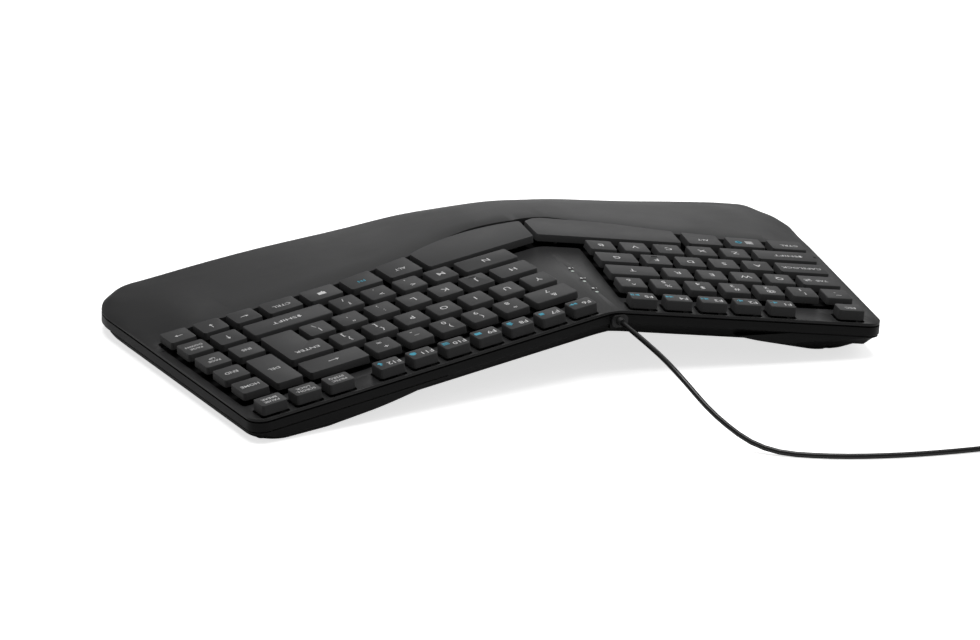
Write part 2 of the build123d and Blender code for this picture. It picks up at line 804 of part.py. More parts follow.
def pad_bodies(grow, top):
    """Rubber feet, standing on the desk."""
    with BuildPart() as group:
        for side in (left, right):
            plane = Plane(origin=(ridge_x, ridge_y, 0), x_dir=(cos_a, side * sin_a, 0), z_dir=(0, 0, 1))
            with BuildSketch(plane):
                with Locations(*[(side * u * cos_t, v) for u, v in foot_pads[side]]):
                    SlotOverall(pad_size[0] + 2 * grow, pad_size[1] + 2 * grow)
            extrude(amount=top)
    return group.part


with BuildPart() as bottom_case:
    add(case_outside.part)
    add(bellies.part)
    add(gland_boss.part)
    add(tongue.part)
    add(case_inside.part, mode=Mode.SUBTRACT)
    add(belly_hollows.part, mode=Mode.SUBTRACT)
    add(gland_boss.part)
    add(posts.part)
    add(pad_bodies(0, foot_thickness), mode=Mode.SUBTRACT)
    for side in (left, right):
        add(pegs(side, all_bosses[side], screw_radius, boss_joint_depth - 1.0, 50), mode=Mode.SUBTRACT)
        add(pegs(side, all_bosses[side], screw_radius * 2, head_depth, 60), mode=Mode.SUBTRACT)
    with BuildSketch(gland_mouth):
        RectangleRounded(gland_width, gland_height, 2.2)
    extrude(amount=10, both=True, mode=Mode.SUBTRACT)
bottom_case.part.label = "bottom_case"
export_step(bottom_case.part, "parts/bottom_case.step")

with BuildPart() as rubber_feet:
    add(pad_bodies(0, foot_thickness))
rubber_feet.part.label = "rubber_feet"
export_step(rubber_feet.part, "parts/rubber_feet.step")

with BuildPart() as case_screws:
    for side in (left, right):
        add(pegs(side, all_bosses[side], screw_radius, deck_depth + 4.5, head_depth))
        add(pegs(side, all_bosses[side], screw_radius * 1.9, head_depth, head_depth + 1.6))
        with BuildSketch(key_plane(side, head_depth + 0.6)):
            with Locations(*[(side * u, v) for u, v in all_bosses[side]]):
                Rectangle(2.4, 0.7)
                Rectangle(0.7, 2.4)
        extrude(amount=-2, mode=Mode.SUBTRACT)
case_screws.part.label = "case_screws"
export_step(case_screws.part, "parts/case_screws.step")

with BuildPart() as cable_gland:
    with BuildSketch(gland_mouth):
        RectangleRounded(gland_width, gland_height, 2.2)
    extrude(amount=-gland_length)
    with BuildSketch(gland_mouth):
        RectangleRounded(gland_width + 2.0, gland_height + 1.4, 2.6)
    extrude(amount=gland_step)
    with BuildSketch(gland_mouth.offset(gland_step)):
        Circle(lead_diameter / 2 + 1.0)
    extrude(amount=3.0, taper=8)
    with BuildSketch(gland_mouth):
        Circle(lead_diameter / 2)
    extrude(amount=20, both=True, mode=Mode.SUBTRACT)
cable_gland.part.label = "cable_gland"
export_step(cable_gland.part, "parts/cable_gland.step")

# Frames, dome sheets, membrane and steel plate

for side, side_name in ((left, "left"), (right, "right")):
    legs = all_legs(side)
    places = [(side * u, v) for u, v, main in legs]
    bottom_keys = [u for u, v, main in legs if v == row_v["bottom"]]
    bar_legs = [u for u, v, main in legs if v == bar_v]
    rows = [row_v[row] for row in ("number", "upper", "home", "lower")]
    rails = [(row, [u for u, v, main in legs if v == row]) for row in rows]
    rails += [(row_v["bottom"], bottom_keys), (bar_v, bar_legs)]
    with BuildPart() as key_frame:
        add(sheet(side, sheet_corners(side, wall + 0.6, 0.2), frame_top, frame_top + frame_plate))
        with BuildSketch(key_plane(side, rail_top)):
            for v, us in rails:
                with Locations((side * (min(us) + max(us)) / 2, v)):
                    Rectangle(max(us) - min(us) + rail_width, rail_width)
            with Locations(*places):
                Rectangle(rail_width, rail_width)
        extrude(amount=-(frame_top - rail_top + 0.5))
        with BuildSketch(key_plane(side)):
            with Locations(*places):
                Rectangle(stem_hole, stem_hole)
        extrude(amount=-15, mode=Mode.SUBTRACT)
        add(pegs(side, rear_bosses[side], boss_hole_radius, 5.0, 20.0), mode=Mode.SUBTRACT)
    name = f"{side_name}_key_frame"
    key_frame.part.label = name
    export_step(key_frame.part, f"parts/{name}.step")

    with BuildPart() as dome_sheet:
        add(sheet(side, sheet_corners(side, wall + 0.8, 0.2), sheet_top, sheet_top + sheet_thickness))
        faces = []
        for radius, depth in ((dome_foot, sheet_top), (dome_crown, dome_top)):
            with BuildSketch(key_plane(side, depth)) as level:
                with Locations(*[(side * u, v) for u, v, main in legs if main]):
                    RegularPolygon(radius, 6)
            faces.append(level.sketch.faces())
        for foot_face, crown_face in zip(faces[0], faces[1]):
            loft([foot_face, crown_face], ruled=True)
        add(pegs(side, rear_bosses[side], boss_hole_radius, 5.0, 20.0), mode=Mode.SUBTRACT)
    name = f"{side_name}_dome_sheet"
    dome_sheet.part.label = name
    export_step(dome_sheet.part, f"parts/{name}.step")

membrane_top = sheet_top + sheet_thickness
plate_top = membrane_top + membrane_thickness
with BuildPart() as membrane:
    for side in (left, right):
        add(sheet(side, sheet_corners(side, wall + 0.9), membrane_top, plate_top))
    for side in (left, right):
        add(pegs(side, rear_bosses[side], boss_hole_radius, 5.0, 20.0), mode=Mode.SUBTRACT)
membrane.part.label = "membrane"
export_step(membrane.part, "parts/membrane.step")

with BuildPart() as backplate:
    for side in (left, right):
        add(sheet(side, sheet_corners(side, wall + 1.8), plate_top, plate_top + steel_thickness))
    for side in (left, right):
        add(pegs(side, rear_bosses[side], boss_hole_radius, 5.0, 20.0), mode=Mode.SUBTRACT)
backplate.part.label = "backplate"
export_step(backplate.part, "parts/backplate.step")

# Lead, from inside the gland to the desk, and the rest of it put away in a coil

lead_route = [
    (-32.3, 72.0, 30.2),
    (-32.3, 118.0, 30.2),
    (-33.4, 148.0, 26.0),
    (-40.5, 173.0, 13.5),
    (-57.0, 194.0, 1.4),
    (-86.0, 210.0, 1.4),
    (-122.0, 219.5, 1.4),
    (-160.0, 224.0, 1.4),
    (-188.0, 225.8, 2.2),
    (-214.7, 225.8, 2.2),
]


def arc_radii(route):
    """Each arc takes 0.45 of the shorter run beside its point."""
    radii = []
    for before, point, after in zip(route, route[1:], route[2:]):
        run_in, run_out = Vector(*point) - Vector(*before), Vector(*after) - Vector(*point)
        half_turn = math.radians(run_in.get_angle(run_out)) / 2
        radii.append(0.45 * min(run_in.length, run_out.length) / math.tan(half_turn))
    return radii


lead_radii = arc_radii(lead_route)
with BuildPart() as usb_cable:
    with BuildLine() as lead_path:
        FilletPolyline(*lead_route, radius=lead_radii)
    with BuildSketch(Plane(lead_route[0], z_dir=lead_path.line @ 0 - lead_path.line @ 0.001)):
        Circle(lead_diameter / 2)
    sweep(path=lead_path.line)
usb_cable.part.label = "usb_cable"
export_step(usb_cable.part, "parts/usb_cable.step")
lead_area = math.pi * lead_diameter**2 / 4
print("lead radii", [round(r) for r in lead_radii])
lead_length = lead_path.wires()[0].length
print("lead volume", usb_cable.part.volume, "section x length", lead_area * lead_length)

coil_outer = 20.6
coil_pitch = 4.15
coil_rise = 4.1
layer_turns = (2.5, 2.5, 2.5, 3.0)
coil_start = Vector(*lead_route[-1]) - Vector(lead_diameter, 0, 0)
coil_middle = coil_start - Vector(0, coil_outer, 0)
tail_run = 14.0
tail_drop_run = 30.0
plug_height = 4.1


def coil_stations():
    """Turn, radius and height at each half turn: in, up, out, up, and so on."""
    turn, radius, height = 0.0, coil_outer, 0.0
    stations = [(turn, radius, height)]
    direction = -1
    for layer, turns in enumerate(layer_turns):
        for half in range(round(turns * 2)):
            turn += 0.5
            radius += direction * coil_pitch / 2
            stations.append((turn, radius, height))
        if layer < len(layer_turns) - 1:
            turn += 0.5
            height += coil_rise
            stations.append((turn, radius, height))
        direction = -direction
    return stations


def station_place(station):
    turn, radius, height = station
    angle = 2 * math.pi * (turn + 0.25)
    return coil_middle + Vector(radius * math.cos(angle), radius * math.sin(angle), height)


def station_heading(before, station, after):
    angle = 2 * math.pi * (station[0] + 0.25)
    rate = (after[1] - before[1]) / (2 * math.pi * (after[0] - before[0]))
    outwards = Vector(math.cos(angle), math.sin(angle), 0)
    onwards = Vector(-math.sin(angle), math.cos(angle), 0)
    return (onwards * station[1] + outwards * rate).normalized()


def biarc(start, start_heading, end, end_heading):
    """Two arcs that leave and arrive at these headings."""
    chord = end - start
    both = start_heading + end_heading
    square = 4 - both.dot(both)
    mixed = chord.dot(both)
    reach = chord.dot(chord) / (mixed + math.sqrt(mixed**2 + square * chord.dot(chord)))
    first_corner, last_corner = start + start_heading * reach, end - end_heading * reach
    middle = (first_corner + last_corner) * 0.5
    TangentArc(start, middle, tangent=start_heading)
    TangentArc(middle, end, tangent=last_corner - first_corner)


stations = coil_stations()
places = [station_place(station) for station in stations]
headings = [Vector(-1, 0, 0)]
headings += [station_heading(*three) for three in zip(stations, stations[1:], stations[2:])]
headings += [Vector(-1, 0, 0)]
tail_start = places[-1] + Vector(-tail_run, 0, 0)
tail_end = Vector(tail_start.X - tail_drop_run, tail_start.Y, plug_height)
plug_mouth = tail_end - Vector(lead_diameter, 0, 0)
with BuildPart() as cable_coil:
    with BuildLine() as coil_path:
        Line(Vector(*lead_route[-1]), places[0])
        for k in range(len(places) - 1):
            biarc(places[k], headings[k], places[k + 1], headings[k + 1])
        Line(places[-1], tail_start)
        biarc(tail_start, Vector(-1, 0, 0), tail_end, Vector(-1, 0, 0))
        Line(tail_end, plug_mouth)
    with BuildSketch(Plane(lead_route[-1], x_dir=(0, 1, 0), z_dir=(-1, 0, 0))):
        RegularPolygon(lead_diameter / 2, 6, major_radius=False)
    sweep(path=coil_path.line)
cable_coil.part.label = "cable_coil"
export_step(cable_coil.part, "parts/cable_coil.step")
coil_wire = coil_path.wires()[0]
samples = [coil_wire @ (k / 900) for k in range(901)]
far_apart = 900 * 12 // int(coil_wire.length)
gap = min(
    (samples[a] - samples[b]).length for a in range(901) for b in range(a + far_apart, 901)
) - lead_diameter / math.cos(math.pi / 6)
print("coil length", coil_wire.length, "least gap", gap)
print("coil volume", cable_coil.part.volume, cable_coil.part.is_valid)
print("lead length", lead_length + coil_wire.length)

tie_thickness = 0.7
tie_width = 5.0
tie_inner = (coil_outer - 12.8, coil_outer + 2.3)
tie_height = coil_rise * 3 + lead_diameter + 0.2
tie_length = tie_inner[1] - tie_inner[0]
with BuildPart() as cable_tie:
    tie_foot = coil_middle - Vector(0, 0, lead_diameter / 2 + 0.1)
    with BuildSketch(Plane(tie_foot, x_dir=(0, -1, 0), z_dir=(1, 0, 0))):
        with Locations(((tie_inner[0] + tie_inner[1]) / 2, -tie_height / 2)):
            RectangleRounded(tie_length + 2 * tie_thickness, tie_height + 2 * tie_thickness, 1.6)
            Rectangle(tie_length, tie_height, mode=Mode.SUBTRACT)
    extrude(amount=tie_width / 2, both=True)
cable_tie.part.label = "cable_tie"
export_step(cable_tie.part, "parts/cable_tie.step")

grip_size = (15.6, 2 * plug_height, 27.0)
relief_length = 7.0
shell_size = (12.0, 4.5, 13.0)
shell_wall = 0.35
shell_inside = (shell_size[0] - 2 * shell_wall, shell_size[1] - 2 * shell_wall)
plug_axis = Plane(plug_mouth, x_dir=(0, 1, 0), z_dir=(-1, 0, 0))
with BuildPart() as usb_plug_body:
    with BuildSketch(plug_axis):
        Circle(lead_diameter / 2 + 0.7)
    with BuildSketch(plug_axis.offset(relief_length)):
        Circle(lead_diameter / 2 + 1.5)
    loft()
    with BuildSketch(plug_axis.offset(relief_length)):
        RectangleRounded(grip_size[0], grip_size[1], 1.5)
    extrude(amount=grip_size[2])
    chamfer(usb_plug_body.faces().filter_by(Axis.X).sort_by(Axis.X)[0].edges(), 0.5)
    with BuildSketch(plug_axis.offset(relief_length + grip_size[2])):
        with Locations((0, -0.9)):
            Rectangle(shell_inside[0] - 0.6, 1.9)
    extrude(amount=shell_size[2] - 1.0)
usb_plug_body.part.label = "usb_plug_body"
export_step(usb_plug_body.part, "parts/usb_plug_body.step")

with BuildPart() as usb_plug_shell:
    with BuildSketch(plug_axis.offset(relief_length + grip_size[2])):
        RectangleRounded(shell_size[0], shell_size[1], 0.6)
        RectangleRounded(shell_inside[0], shell_inside[1], 0.3, mode=Mode.SUBTRACT)
    extrude(amount=shell_size[2])
usb_plug_shell.part.label = "usb_plug_shell"
export_step(usb_plug_shell.part, "parts/usb_plug_shell.step")
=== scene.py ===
import json
import math

import bpy
from mathutils import Matrix, Vector

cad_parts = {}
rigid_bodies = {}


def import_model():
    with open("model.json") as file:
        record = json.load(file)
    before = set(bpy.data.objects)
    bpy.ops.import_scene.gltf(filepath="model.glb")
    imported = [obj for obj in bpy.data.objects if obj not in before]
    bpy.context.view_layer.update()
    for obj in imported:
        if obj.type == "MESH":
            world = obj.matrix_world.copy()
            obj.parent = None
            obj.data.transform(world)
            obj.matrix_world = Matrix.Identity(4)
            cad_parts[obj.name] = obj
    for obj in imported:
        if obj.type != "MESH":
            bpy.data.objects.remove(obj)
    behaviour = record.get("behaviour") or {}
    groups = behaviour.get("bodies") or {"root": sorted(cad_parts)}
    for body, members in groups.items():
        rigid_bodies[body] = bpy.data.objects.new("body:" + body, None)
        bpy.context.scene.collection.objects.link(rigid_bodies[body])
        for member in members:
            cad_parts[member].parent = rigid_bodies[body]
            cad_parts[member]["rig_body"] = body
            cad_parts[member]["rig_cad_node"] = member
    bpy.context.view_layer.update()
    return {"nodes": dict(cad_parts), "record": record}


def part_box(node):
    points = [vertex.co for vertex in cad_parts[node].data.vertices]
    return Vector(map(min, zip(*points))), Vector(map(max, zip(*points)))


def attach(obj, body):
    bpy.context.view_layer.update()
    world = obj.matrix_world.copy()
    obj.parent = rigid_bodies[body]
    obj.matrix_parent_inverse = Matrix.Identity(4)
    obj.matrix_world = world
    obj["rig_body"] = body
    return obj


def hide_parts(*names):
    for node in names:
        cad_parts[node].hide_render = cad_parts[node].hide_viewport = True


bl_info = {
    "name": "Ergonomic keyboard",
    "version": (1, 0, 0),
    "blender": (4, 5, 0),
    "location": "View3D > Sidebar > Keyboard",
    "description": "Gives the packed keyboard its rounded caps, printed legends, lead, finishes and stage",
    "category": "Object",
}

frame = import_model()
MM = 0.001

# Planes of the two key fields, from the same values as the construction. RIDGE is in metres, the rest in
# millimetres: u runs outwards along the rows, v away from the user, and ROWS holds the v of each row.
SPLAY = math.radians(8.914)
TENT = math.radians(6.335)
RIDGE = Vector((-0.0300, -0.0085, 0.0433))
LEFT, RIGHT = -1, 1
ROWS = {"function": 77.4, "number": 57.0, "upper": 38.0, "home": 19.0, "lower": 0.0}
PITCH = 19.0
DECK_DEPTH = 6.0


def along_u(side):
    """Direction of the key rows of one half, outwards."""
    level = math.cos(TENT)
    return Vector((side * level * math.cos(SPLAY), level * math.sin(SPLAY), -math.sin(TENT)))


def along_v(side):
    """Direction of the key columns of one half, away from the user."""
    return Vector((-side * math.sin(SPLAY), math.cos(SPLAY), 0))


def upward(side):
    """Normal of the key tops of one half."""
    lean = math.sin(TENT)
    return Vector((side * lean * math.cos(SPLAY), lean * math.sin(SPLAY), math.cos(TENT)))


def place(side, u, v):
    """Placement on a key top: X to the user's right, Y away from the user, in metres."""
    middle = RIDGE + (along_u(side) * u + along_v(side) * v) * MM
    axes = Matrix((along_u(side) * side, along_v(side), upward(side))).transposed().to_4x4()
    return Matrix.Translation(middle) @ axes


class KeyboardSizes(bpy.types.PropertyGroup):
    cap_round: bpy.props.FloatProperty(
        name="Cap rounding",
        description="Radius of the cap edges",
        default=0.00045,
        precision=5,
        unit="LENGTH",
    )
    cover_round: bpy.props.FloatProperty(
        name="Cover rounding",
        description="Radius of the cover edges",
        default=0.0004,
        precision=5,
        unit="LENGTH",
    )
    case_round: bpy.props.FloatProperty(
        name="Case rounding",
        description="Radius of the case edges",
        default=0.0005,
        precision=5,
        unit="LENGTH",
    )
    skirt_longer: bpy.props.FloatProperty(
        name="Longer skirt",
        description="How far the skirts of the top row are drawn down",
        default=0.0013,
        precision=5,
        unit="LENGTH",
    )
    letter_height: bpy.props.FloatProperty(
        name="Letter height",
        description="Height of the letters on the keys",
        default=0.0036,
        precision=5,
        unit="LENGTH",
    )
    word_height: bpy.props.FloatProperty(
        name="Word height",
        description="Height of the words on the wide keys",
        default=0.0024,
        precision=5,
        unit="LENGTH",
    )
    small_height: bpy.props.FloatProperty(
        name="Small word height",
        description="Height of words on two lines",
        default=0.0019,
        precision=5,
        unit="LENGTH",
    )
    ink: bpy.props.FloatProperty(
        name="Ink thickness",
        description="How far the print stands on the cap",
        default=0.00003,
        precision=6,
        unit="LENGTH",
    )


class KeyboardColours(bpy.types.PropertyGroup):
    cover: bpy.props.FloatVectorProperty(
        name="Cover",
        description="Moulded cover and palm rest",
        subtype="COLOR",
        size=4,
        default=(0.0230, 0.0230, 0.0234, 1),
    )
    caps: bpy.props.FloatVectorProperty(
        name="Caps",
        description="Key caps",
        subtype="COLOR",
        size=4,
        default=(0.0480, 0.0480, 0.0486, 1),
    )
    case: bpy.props.FloatVectorProperty(
        name="Case",
        description="Bottom case and key frames",
        subtype="COLOR",
        size=4,
        default=(0.0055, 0.0055, 0.0056, 1),
    )
    rubber: bpy.props.FloatVectorProperty(
        name="Rubber",
        description="Lead, gland and feet",
        subtype="COLOR",
        size=4,
        default=(0.0070, 0.0070, 0.0072, 1),
    )
    print_white: bpy.props.FloatVectorProperty(
        name="White print",
        description="Letters and signs",
        subtype="COLOR",
        size=4,
        default=(0.62, 0.62, 0.62, 1),
    )
    print_blue: bpy.props.FloatVectorProperty(
        name="Blue print",
        description="Second functions",
        subtype="COLOR",
        size=4,
        default=(0.02, 0.30, 0.42, 1),
    )
    floor: bpy.props.FloatVectorProperty(
        name="Floor",
        description="Studio floor",
        subtype="COLOR",
        size=4,
        default=(0.82, 0.82, 0.82, 1),
    )
    floor_bounce: bpy.props.FloatVectorProperty(
        name="Floor bounce",
        description="Shade in which the floor lights the keyboard",
        subtype="COLOR",
        size=4,
        default=(0.18, 0.18, 0.18, 1),
    )


class KeyboardStage(bpy.types.PropertyGroup):
    lens: bpy.props.FloatProperty(name="Lens", description="Focal length", default=132.9, unit="CAMERA")
    top_light: bpy.props.FloatProperty(
        name="Top light", description="Large soft lamp over the keyboard", default=20.0, unit="POWER"
    )
    side_light: bpy.props.FloatProperty(
        name="Side light", description="Soft lamp at the user's left", default=4.5, unit="POWER"
    )
    front_light: bpy.props.FloatProperty(
        name="Front light", description="Low lamp in front of the palm rest", default=1.7, unit="POWER"
    )
    floor_lift: bpy.props.FloatProperty(
        name="Floor lift",
        description="White that the floor adds where it is seen",
        default=0.70,
        min=0,
        max=1,
    )
    sky: bpy.props.FloatProperty(name="Sky", description="Even light from all sides", default=0.20, min=0)


def sizes():
    return bpy.context.scene.keyboard_sizes


def colours():
    return bpy.context.scene.keyboard_colours


def lighting():
    return bpy.context.scene.keyboard_stage


# Shader groups and finishes

GRAIN_RELIEF = 0.00002
LINE_RELIEF = 0.00001


def new_group(name, inputs, outputs):
    """Empty shader group with these float or colour sockets."""
    group = bpy.data.node_groups.new(name, "ShaderNodeTree")
    for label, kind, value in inputs:
        socket = group.interface.new_socket(name=label, in_out="INPUT", socket_type=kind)
        socket.default_value = value
    for label, kind in outputs:
        group.interface.new_socket(name=label, in_out="OUTPUT", socket_type=kind)
    return group, group.nodes.new("NodeGroupInput"), group.nodes.new("NodeGroupOutput")


def moulded_grain_group():
    """Fine spark-eroded grain with a broad, faint mottle over it."""
    group, entry, leave = new_group(
        "Moulded grain",
        [
            ("Base", "NodeSocketColor", (0.05, 0.05, 0.05, 1)),
            ("Polished", "NodeSocketColor", (0.06, 0.06, 0.06, 1)),
            ("Grain scale", "NodeSocketFloat", 2600.0),
            ("Mottle scale", "NodeSocketFloat", 28.0),
            ("Roughness low", "NodeSocketFloat", 0.4),
            ("Roughness high", "NodeSocketFloat", 0.5),
        ],
        [("Color", "NodeSocketColor"), ("Roughness", "NodeSocketFloat"), ("Height", "NodeSocketFloat")],
    )
    nodes, links = group.nodes, group.links
    where = nodes.new("ShaderNodeTexCoord")
    grain = nodes.new("ShaderNodeTexNoise")
    grain.inputs["Detail"].default_value = 2.0
    pits = nodes.new("ShaderNodeTexVoronoi")
    mottle = nodes.new("ShaderNodeTexNoise")
    mottle.inputs["Detail"].default_value = 3.0
    links.new(where.outputs["Object"], grain.inputs["Vector"])
    links.new(where.outputs["Object"], pits.inputs["Vector"])
    links.new(where.outputs["Object"], mottle.inputs["Vector"])
    links.new(entry.outputs["Grain scale"], grain.inputs["Scale"])
    links.new(entry.outputs["Grain scale"], pits.inputs["Scale"])
    links.new(entry.outputs["Mottle scale"], mottle.inputs["Scale"])
    height = nodes.new("ShaderNodeMath")
    height.operation = "ADD"
    links.new(grain.outputs["Fac"], height.inputs[0])
    links.new(pits.outputs["Distance"], height.inputs[1])
    spread = nodes.new("ShaderNodeMapRange")
    spread.inputs["From Min"].default_value = 0.3
    spread.inputs["From Max"].default_value = 0.7
    links.new(mottle.outputs["Fac"], spread.inputs["Value"])
    blend = nodes.new("ShaderNodeMix")
    blend.data_type = "RGBA"
    links.new(spread.outputs["Result"], blend.inputs["Factor"])
    links.new(entry.outputs["Base"], blend.inputs["A"])
    links.new(entry.outputs["Polished"], blend.inputs["B"])
    rough = nodes.new("ShaderNodeMapRange")
    links.new(spread.outputs["Result"], rough.inputs["Value"])
    links.new(entry.outputs["Roughness low"], rough.inputs["To Min"])
    links.new(entry.outputs["Roughness high"], rough.inputs["To Max"])
    links.new(blend.outputs["Result"], leave.inputs["Color"])
    links.new(rough.outputs["Result"], leave.inputs["Roughness"])
    links.new(height.outputs["Value"], leave.inputs["Height"])
    return group


def drawn_metal_group():
    """Long fine lines of rolled or drawn metal."""
    group, entry, leave = new_group(
        "Drawn metal",
        [
            ("Base", "NodeSocketColor", (0.5, 0.5, 0.5, 1)),
            ("Line scale", "NodeSocketFloat", 900.0),
            ("Stretch", "NodeSocketVector", (0.02, 1.0, 1.0)),
        ],
        [("Color", "NodeSocketColor"), ("Roughness", "NodeSocketFloat"), ("Height", "NodeSocketFloat")],
    )
    nodes, links = group.nodes, group.links
    where = nodes.new("ShaderNodeTexCoord")
    stretch = nodes.new("ShaderNodeMapping")
    lines = nodes.new("ShaderNodeTexNoise")
    lines.inputs["Detail"].default_value = 4.0
    links.new(where.outputs["Object"], stretch.inputs["Vector"])
    links.new(entry.outputs["Stretch"], stretch.inputs["Scale"])
    links.new(stretch.outputs["Vector"], lines.inputs["Vector"])
    links.new(entry.outputs["Line scale"], lines.inputs["Scale"])
    shade = nodes.new("ShaderNodeMapRange")
    shade.inputs["To Min"].default_value = 0.8
    shade.inputs["To Max"].default_value = 1.1
    links.new(lines.outputs["Fac"], shade.inputs["Value"])
    tint = nodes.new("ShaderNodeVectorMath")
    tint.operation = "SCALE"
    links.new(entry.outputs["Base"], tint.inputs[0])
    links.new(shade.outputs["Result"], tint.inputs["Scale"])
    rough = nodes.new("ShaderNodeMapRange")
    rough.inputs["To Min"].default_value = 0.25
    rough.inputs["To Max"].default_value = 0.42
    links.new(lines.outputs["Fac"], rough.inputs["Value"])
    links.new(tint.outputs["Vector"], leave.inputs["Color"])
    links.new(rough.outputs["Result"], leave.inputs["Roughness"])
    links.new(lines.outputs["Fac"], leave.inputs["Height"])
    return group


def shader_group(name, build):
    """The group of this name, built at its first use."""
    return bpy.data.node_groups.get(name) or build()


def finish_with(name, group, values, bump, relief_depth, **sockets):
    """Material whose colour, roughness and relief come from one group placed with its own values."""
    material = bpy.data.materials.get(name)
    if material:
        return material
    material = bpy.data.materials.new(name)
    material.use_nodes = True
    nodes, links = material.node_tree.nodes, material.node_tree.links
    surface = nodes["Principled BSDF"]
    pattern = nodes.new("ShaderNodeGroup")
    pattern.node_tree = group
    for label, value in values.items():
        pattern.inputs[label].default_value = value
    links.new(pattern.outputs["Color"], surface.inputs["Base Color"])
    links.new(pattern.outputs["Roughness"], surface.inputs["Roughness"])
    relief = nodes.new("ShaderNodeBump")
    relief.inputs["Strength"].default_value = bump
    relief.inputs["Distance"].default_value = relief_depth
    links.new(pattern.outputs["Height"], relief.inputs["Height"])
    links.new(relief.outputs["Normal"], surface.inputs["Normal"])
    for label, value in sockets.items():
        surface.inputs[label.replace("_", " ")].default_value = value
    material.diffuse_color = values["Base"]
    return material


def lighter(colour, factor):
    """Opaque colour made lighter, or darker with a factor under 1."""
    return tuple(min(channel * factor, 1) for channel in colour[:3]) + (1,)


def plastic(name, colour, low, high, bump, grain=2600.0, mottle=28.0, polish=1.12, **sockets):
    """Moulded finish, from its lowest to its highest roughness."""
    group = shader_group("Moulded grain", moulded_grain_group)
    values = {
        "Base": tuple(colour),
        "Polished": lighter(colour, polish),
        "Grain scale": grain,
        "Mottle scale": mottle,
        "Roughness low": low,
        "Roughness high": high,
    }
    return finish_with(name, group, values, bump, GRAIN_RELIEF, **sockets)


def metal(name, colour, stretch, lines=900.0):
    """Metal with fine lines along the axis of the least stretch."""
    group = shader_group("Drawn metal", drawn_metal_group)
    values = {"Base": colour, "Line scale": lines, "Stretch": stretch}
    return finish_with(name, group, values, 0.15, LINE_RELIEF, Metallic=1.0)


def finishes():
    """Every finish of the keyboard by a maker's name."""
    c = colours()
    return {
        "cover": plastic("Cover plastic", c.cover, 0.40, 0.47, bump=0.30, Specular_IOR_Level=0.24),
        "caps": plastic("Cap plastic", c.caps, 0.42, 0.50, bump=0.25, mottle=60.0, Specular_IOR_Level=0.12),
        "case": plastic("Satin black plastic", c.case, 0.36, 0.44, bump=0.2, Specular_IOR_Level=0.12),
        # Key frames: the case's black plastic made half as light, partly their own black and partly painted
        # shade in the wells between the keys
        "well": plastic("Well plastic", lighter(c.case, 0.5), 0.5, 0.6, bump=0.2, Specular_IOR_Level=0.08),
        "rubber": plastic("Black rubber", c.rubber, 0.50, 0.62, bump=0.35, grain=1400.0),
        "lead": plastic("Lead sheath", c.rubber, 0.24, 0.32, bump=0.12, grain=900.0),
        "silicone": plastic(
            "Silicone", (0.45, 0.46, 0.45, 1), 0.45, 0.55, bump=0.1, Transmission_Weight=0.25
        ),
        "film": plastic("Printed film", (0.40, 0.45, 0.43, 1), 0.15, 0.25, bump=0.05),
        "board": plastic("Solder mask", (0.02, 0.13, 0.05, 1), 0.25, 0.35, bump=0.1, mottle=90.0),
        "light": plastic("Clear resin", (0.75, 0.80, 0.70, 1), 0.12, 0.2, bump=0.05),
        "lens": plastic("Smoked lens", (0.30, 0.36, 0.32, 1), 0.08, 0.15, bump=0.05, Coat_Weight=0.4),
        "white": plastic("White print", c.print_white, 0.45, 0.55, bump=0.15, grain=4000.0, polish=0.94),
        "blue": plastic("Blue print", c.print_blue, 0.45, 0.55, bump=0.15, grain=4000.0, polish=0.94),
        "steel": metal("Rolled steel", (0.50, 0.50, 0.50, 1), (0.02, 1.0, 1.0)),
        "screw": metal("Plated screw", (0.30, 0.30, 0.30, 1), (1.0, 1.0, 0.05), 1400.0),
        "wire": metal("Spring wire", (0.45, 0.45, 0.45, 1), (0.05, 1.0, 1.0), 1200.0),
        "nickel": metal("Nickel shell", (0.65, 0.65, 0.64, 1), (0.05, 1.0, 1.0), 1600.0),
    }


def give(piece, material):
    """Leaves the piece with this finish alone."""
    piece.data.materials.clear()
    piece.data.materials.append(material)


# Working on meshes as by hand

MERGE_WITHIN = 0.000004
FLAT_WITHIN = math.radians(0.6)


def pick_none():
    bpy.ops.object.select_all(action="DESELECT")


def take(piece):
    """Selects the piece alone and makes it the active one."""
    pick_none()
    piece.select_set(True)
    bpy.context.view_layer.objects.active = piece


def merged_copy(node, name):
    """Copy of a CAD node with its loose triangles merged and its flat faces joined."""
    piece = frame["nodes"][node].copy()
    piece.data = piece.data.copy()
    piece.name = name
    piece.data.name = name
    piece.parent = None
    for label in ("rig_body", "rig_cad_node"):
        del piece[label]
    bpy.context.scene.collection.objects.link(piece)
    take(piece)
    bpy.ops.object.mode_set(mode="EDIT")
    bpy.ops.mesh.select_all(action="SELECT")
    bpy.ops.mesh.remove_doubles(threshold=MERGE_WITHIN)
    bpy.ops.mesh.customdata_custom_splitnormals_clear()
    bpy.ops.mesh.dissolve_limited(angle_limit=FLAT_WITHIN, delimit=set())
    bpy.ops.object.mode_set(mode="OBJECT")
    return piece


def bevel_where(piece, wanted, width):
    """Rounds the edges that the test picks; it is given the edge's two ends and the two face normals."""
    take(piece)
    bpy.ops.object.mode_set(mode="EDIT")
    bpy.ops.mesh.select_all(action="DESELECT")
    bpy.ops.object.mode_set(mode="OBJECT")
    mesh = piece.data
    beside = {}
    for face in mesh.polygons:
        for key in face.edge_keys:
            beside.setdefault(key, []).append(face.normal)
    for edge in mesh.edges:
        normals = beside.get(edge.key, [])
        ends = [mesh.vertices[k].co for k in edge.vertices]
        edge.select = len(normals) == 2 and wanted(ends, normals)
    bpy.ops.object.mode_set(mode="EDIT")
    bpy.ops.mesh.select_mode(type="EDGE")
    bpy.ops.mesh.bevel(offset=width, segments=2, profile=0.5, clamp_overlap=True, loop_slide=False)
    bpy.ops.object.mode_set(mode="OBJECT")


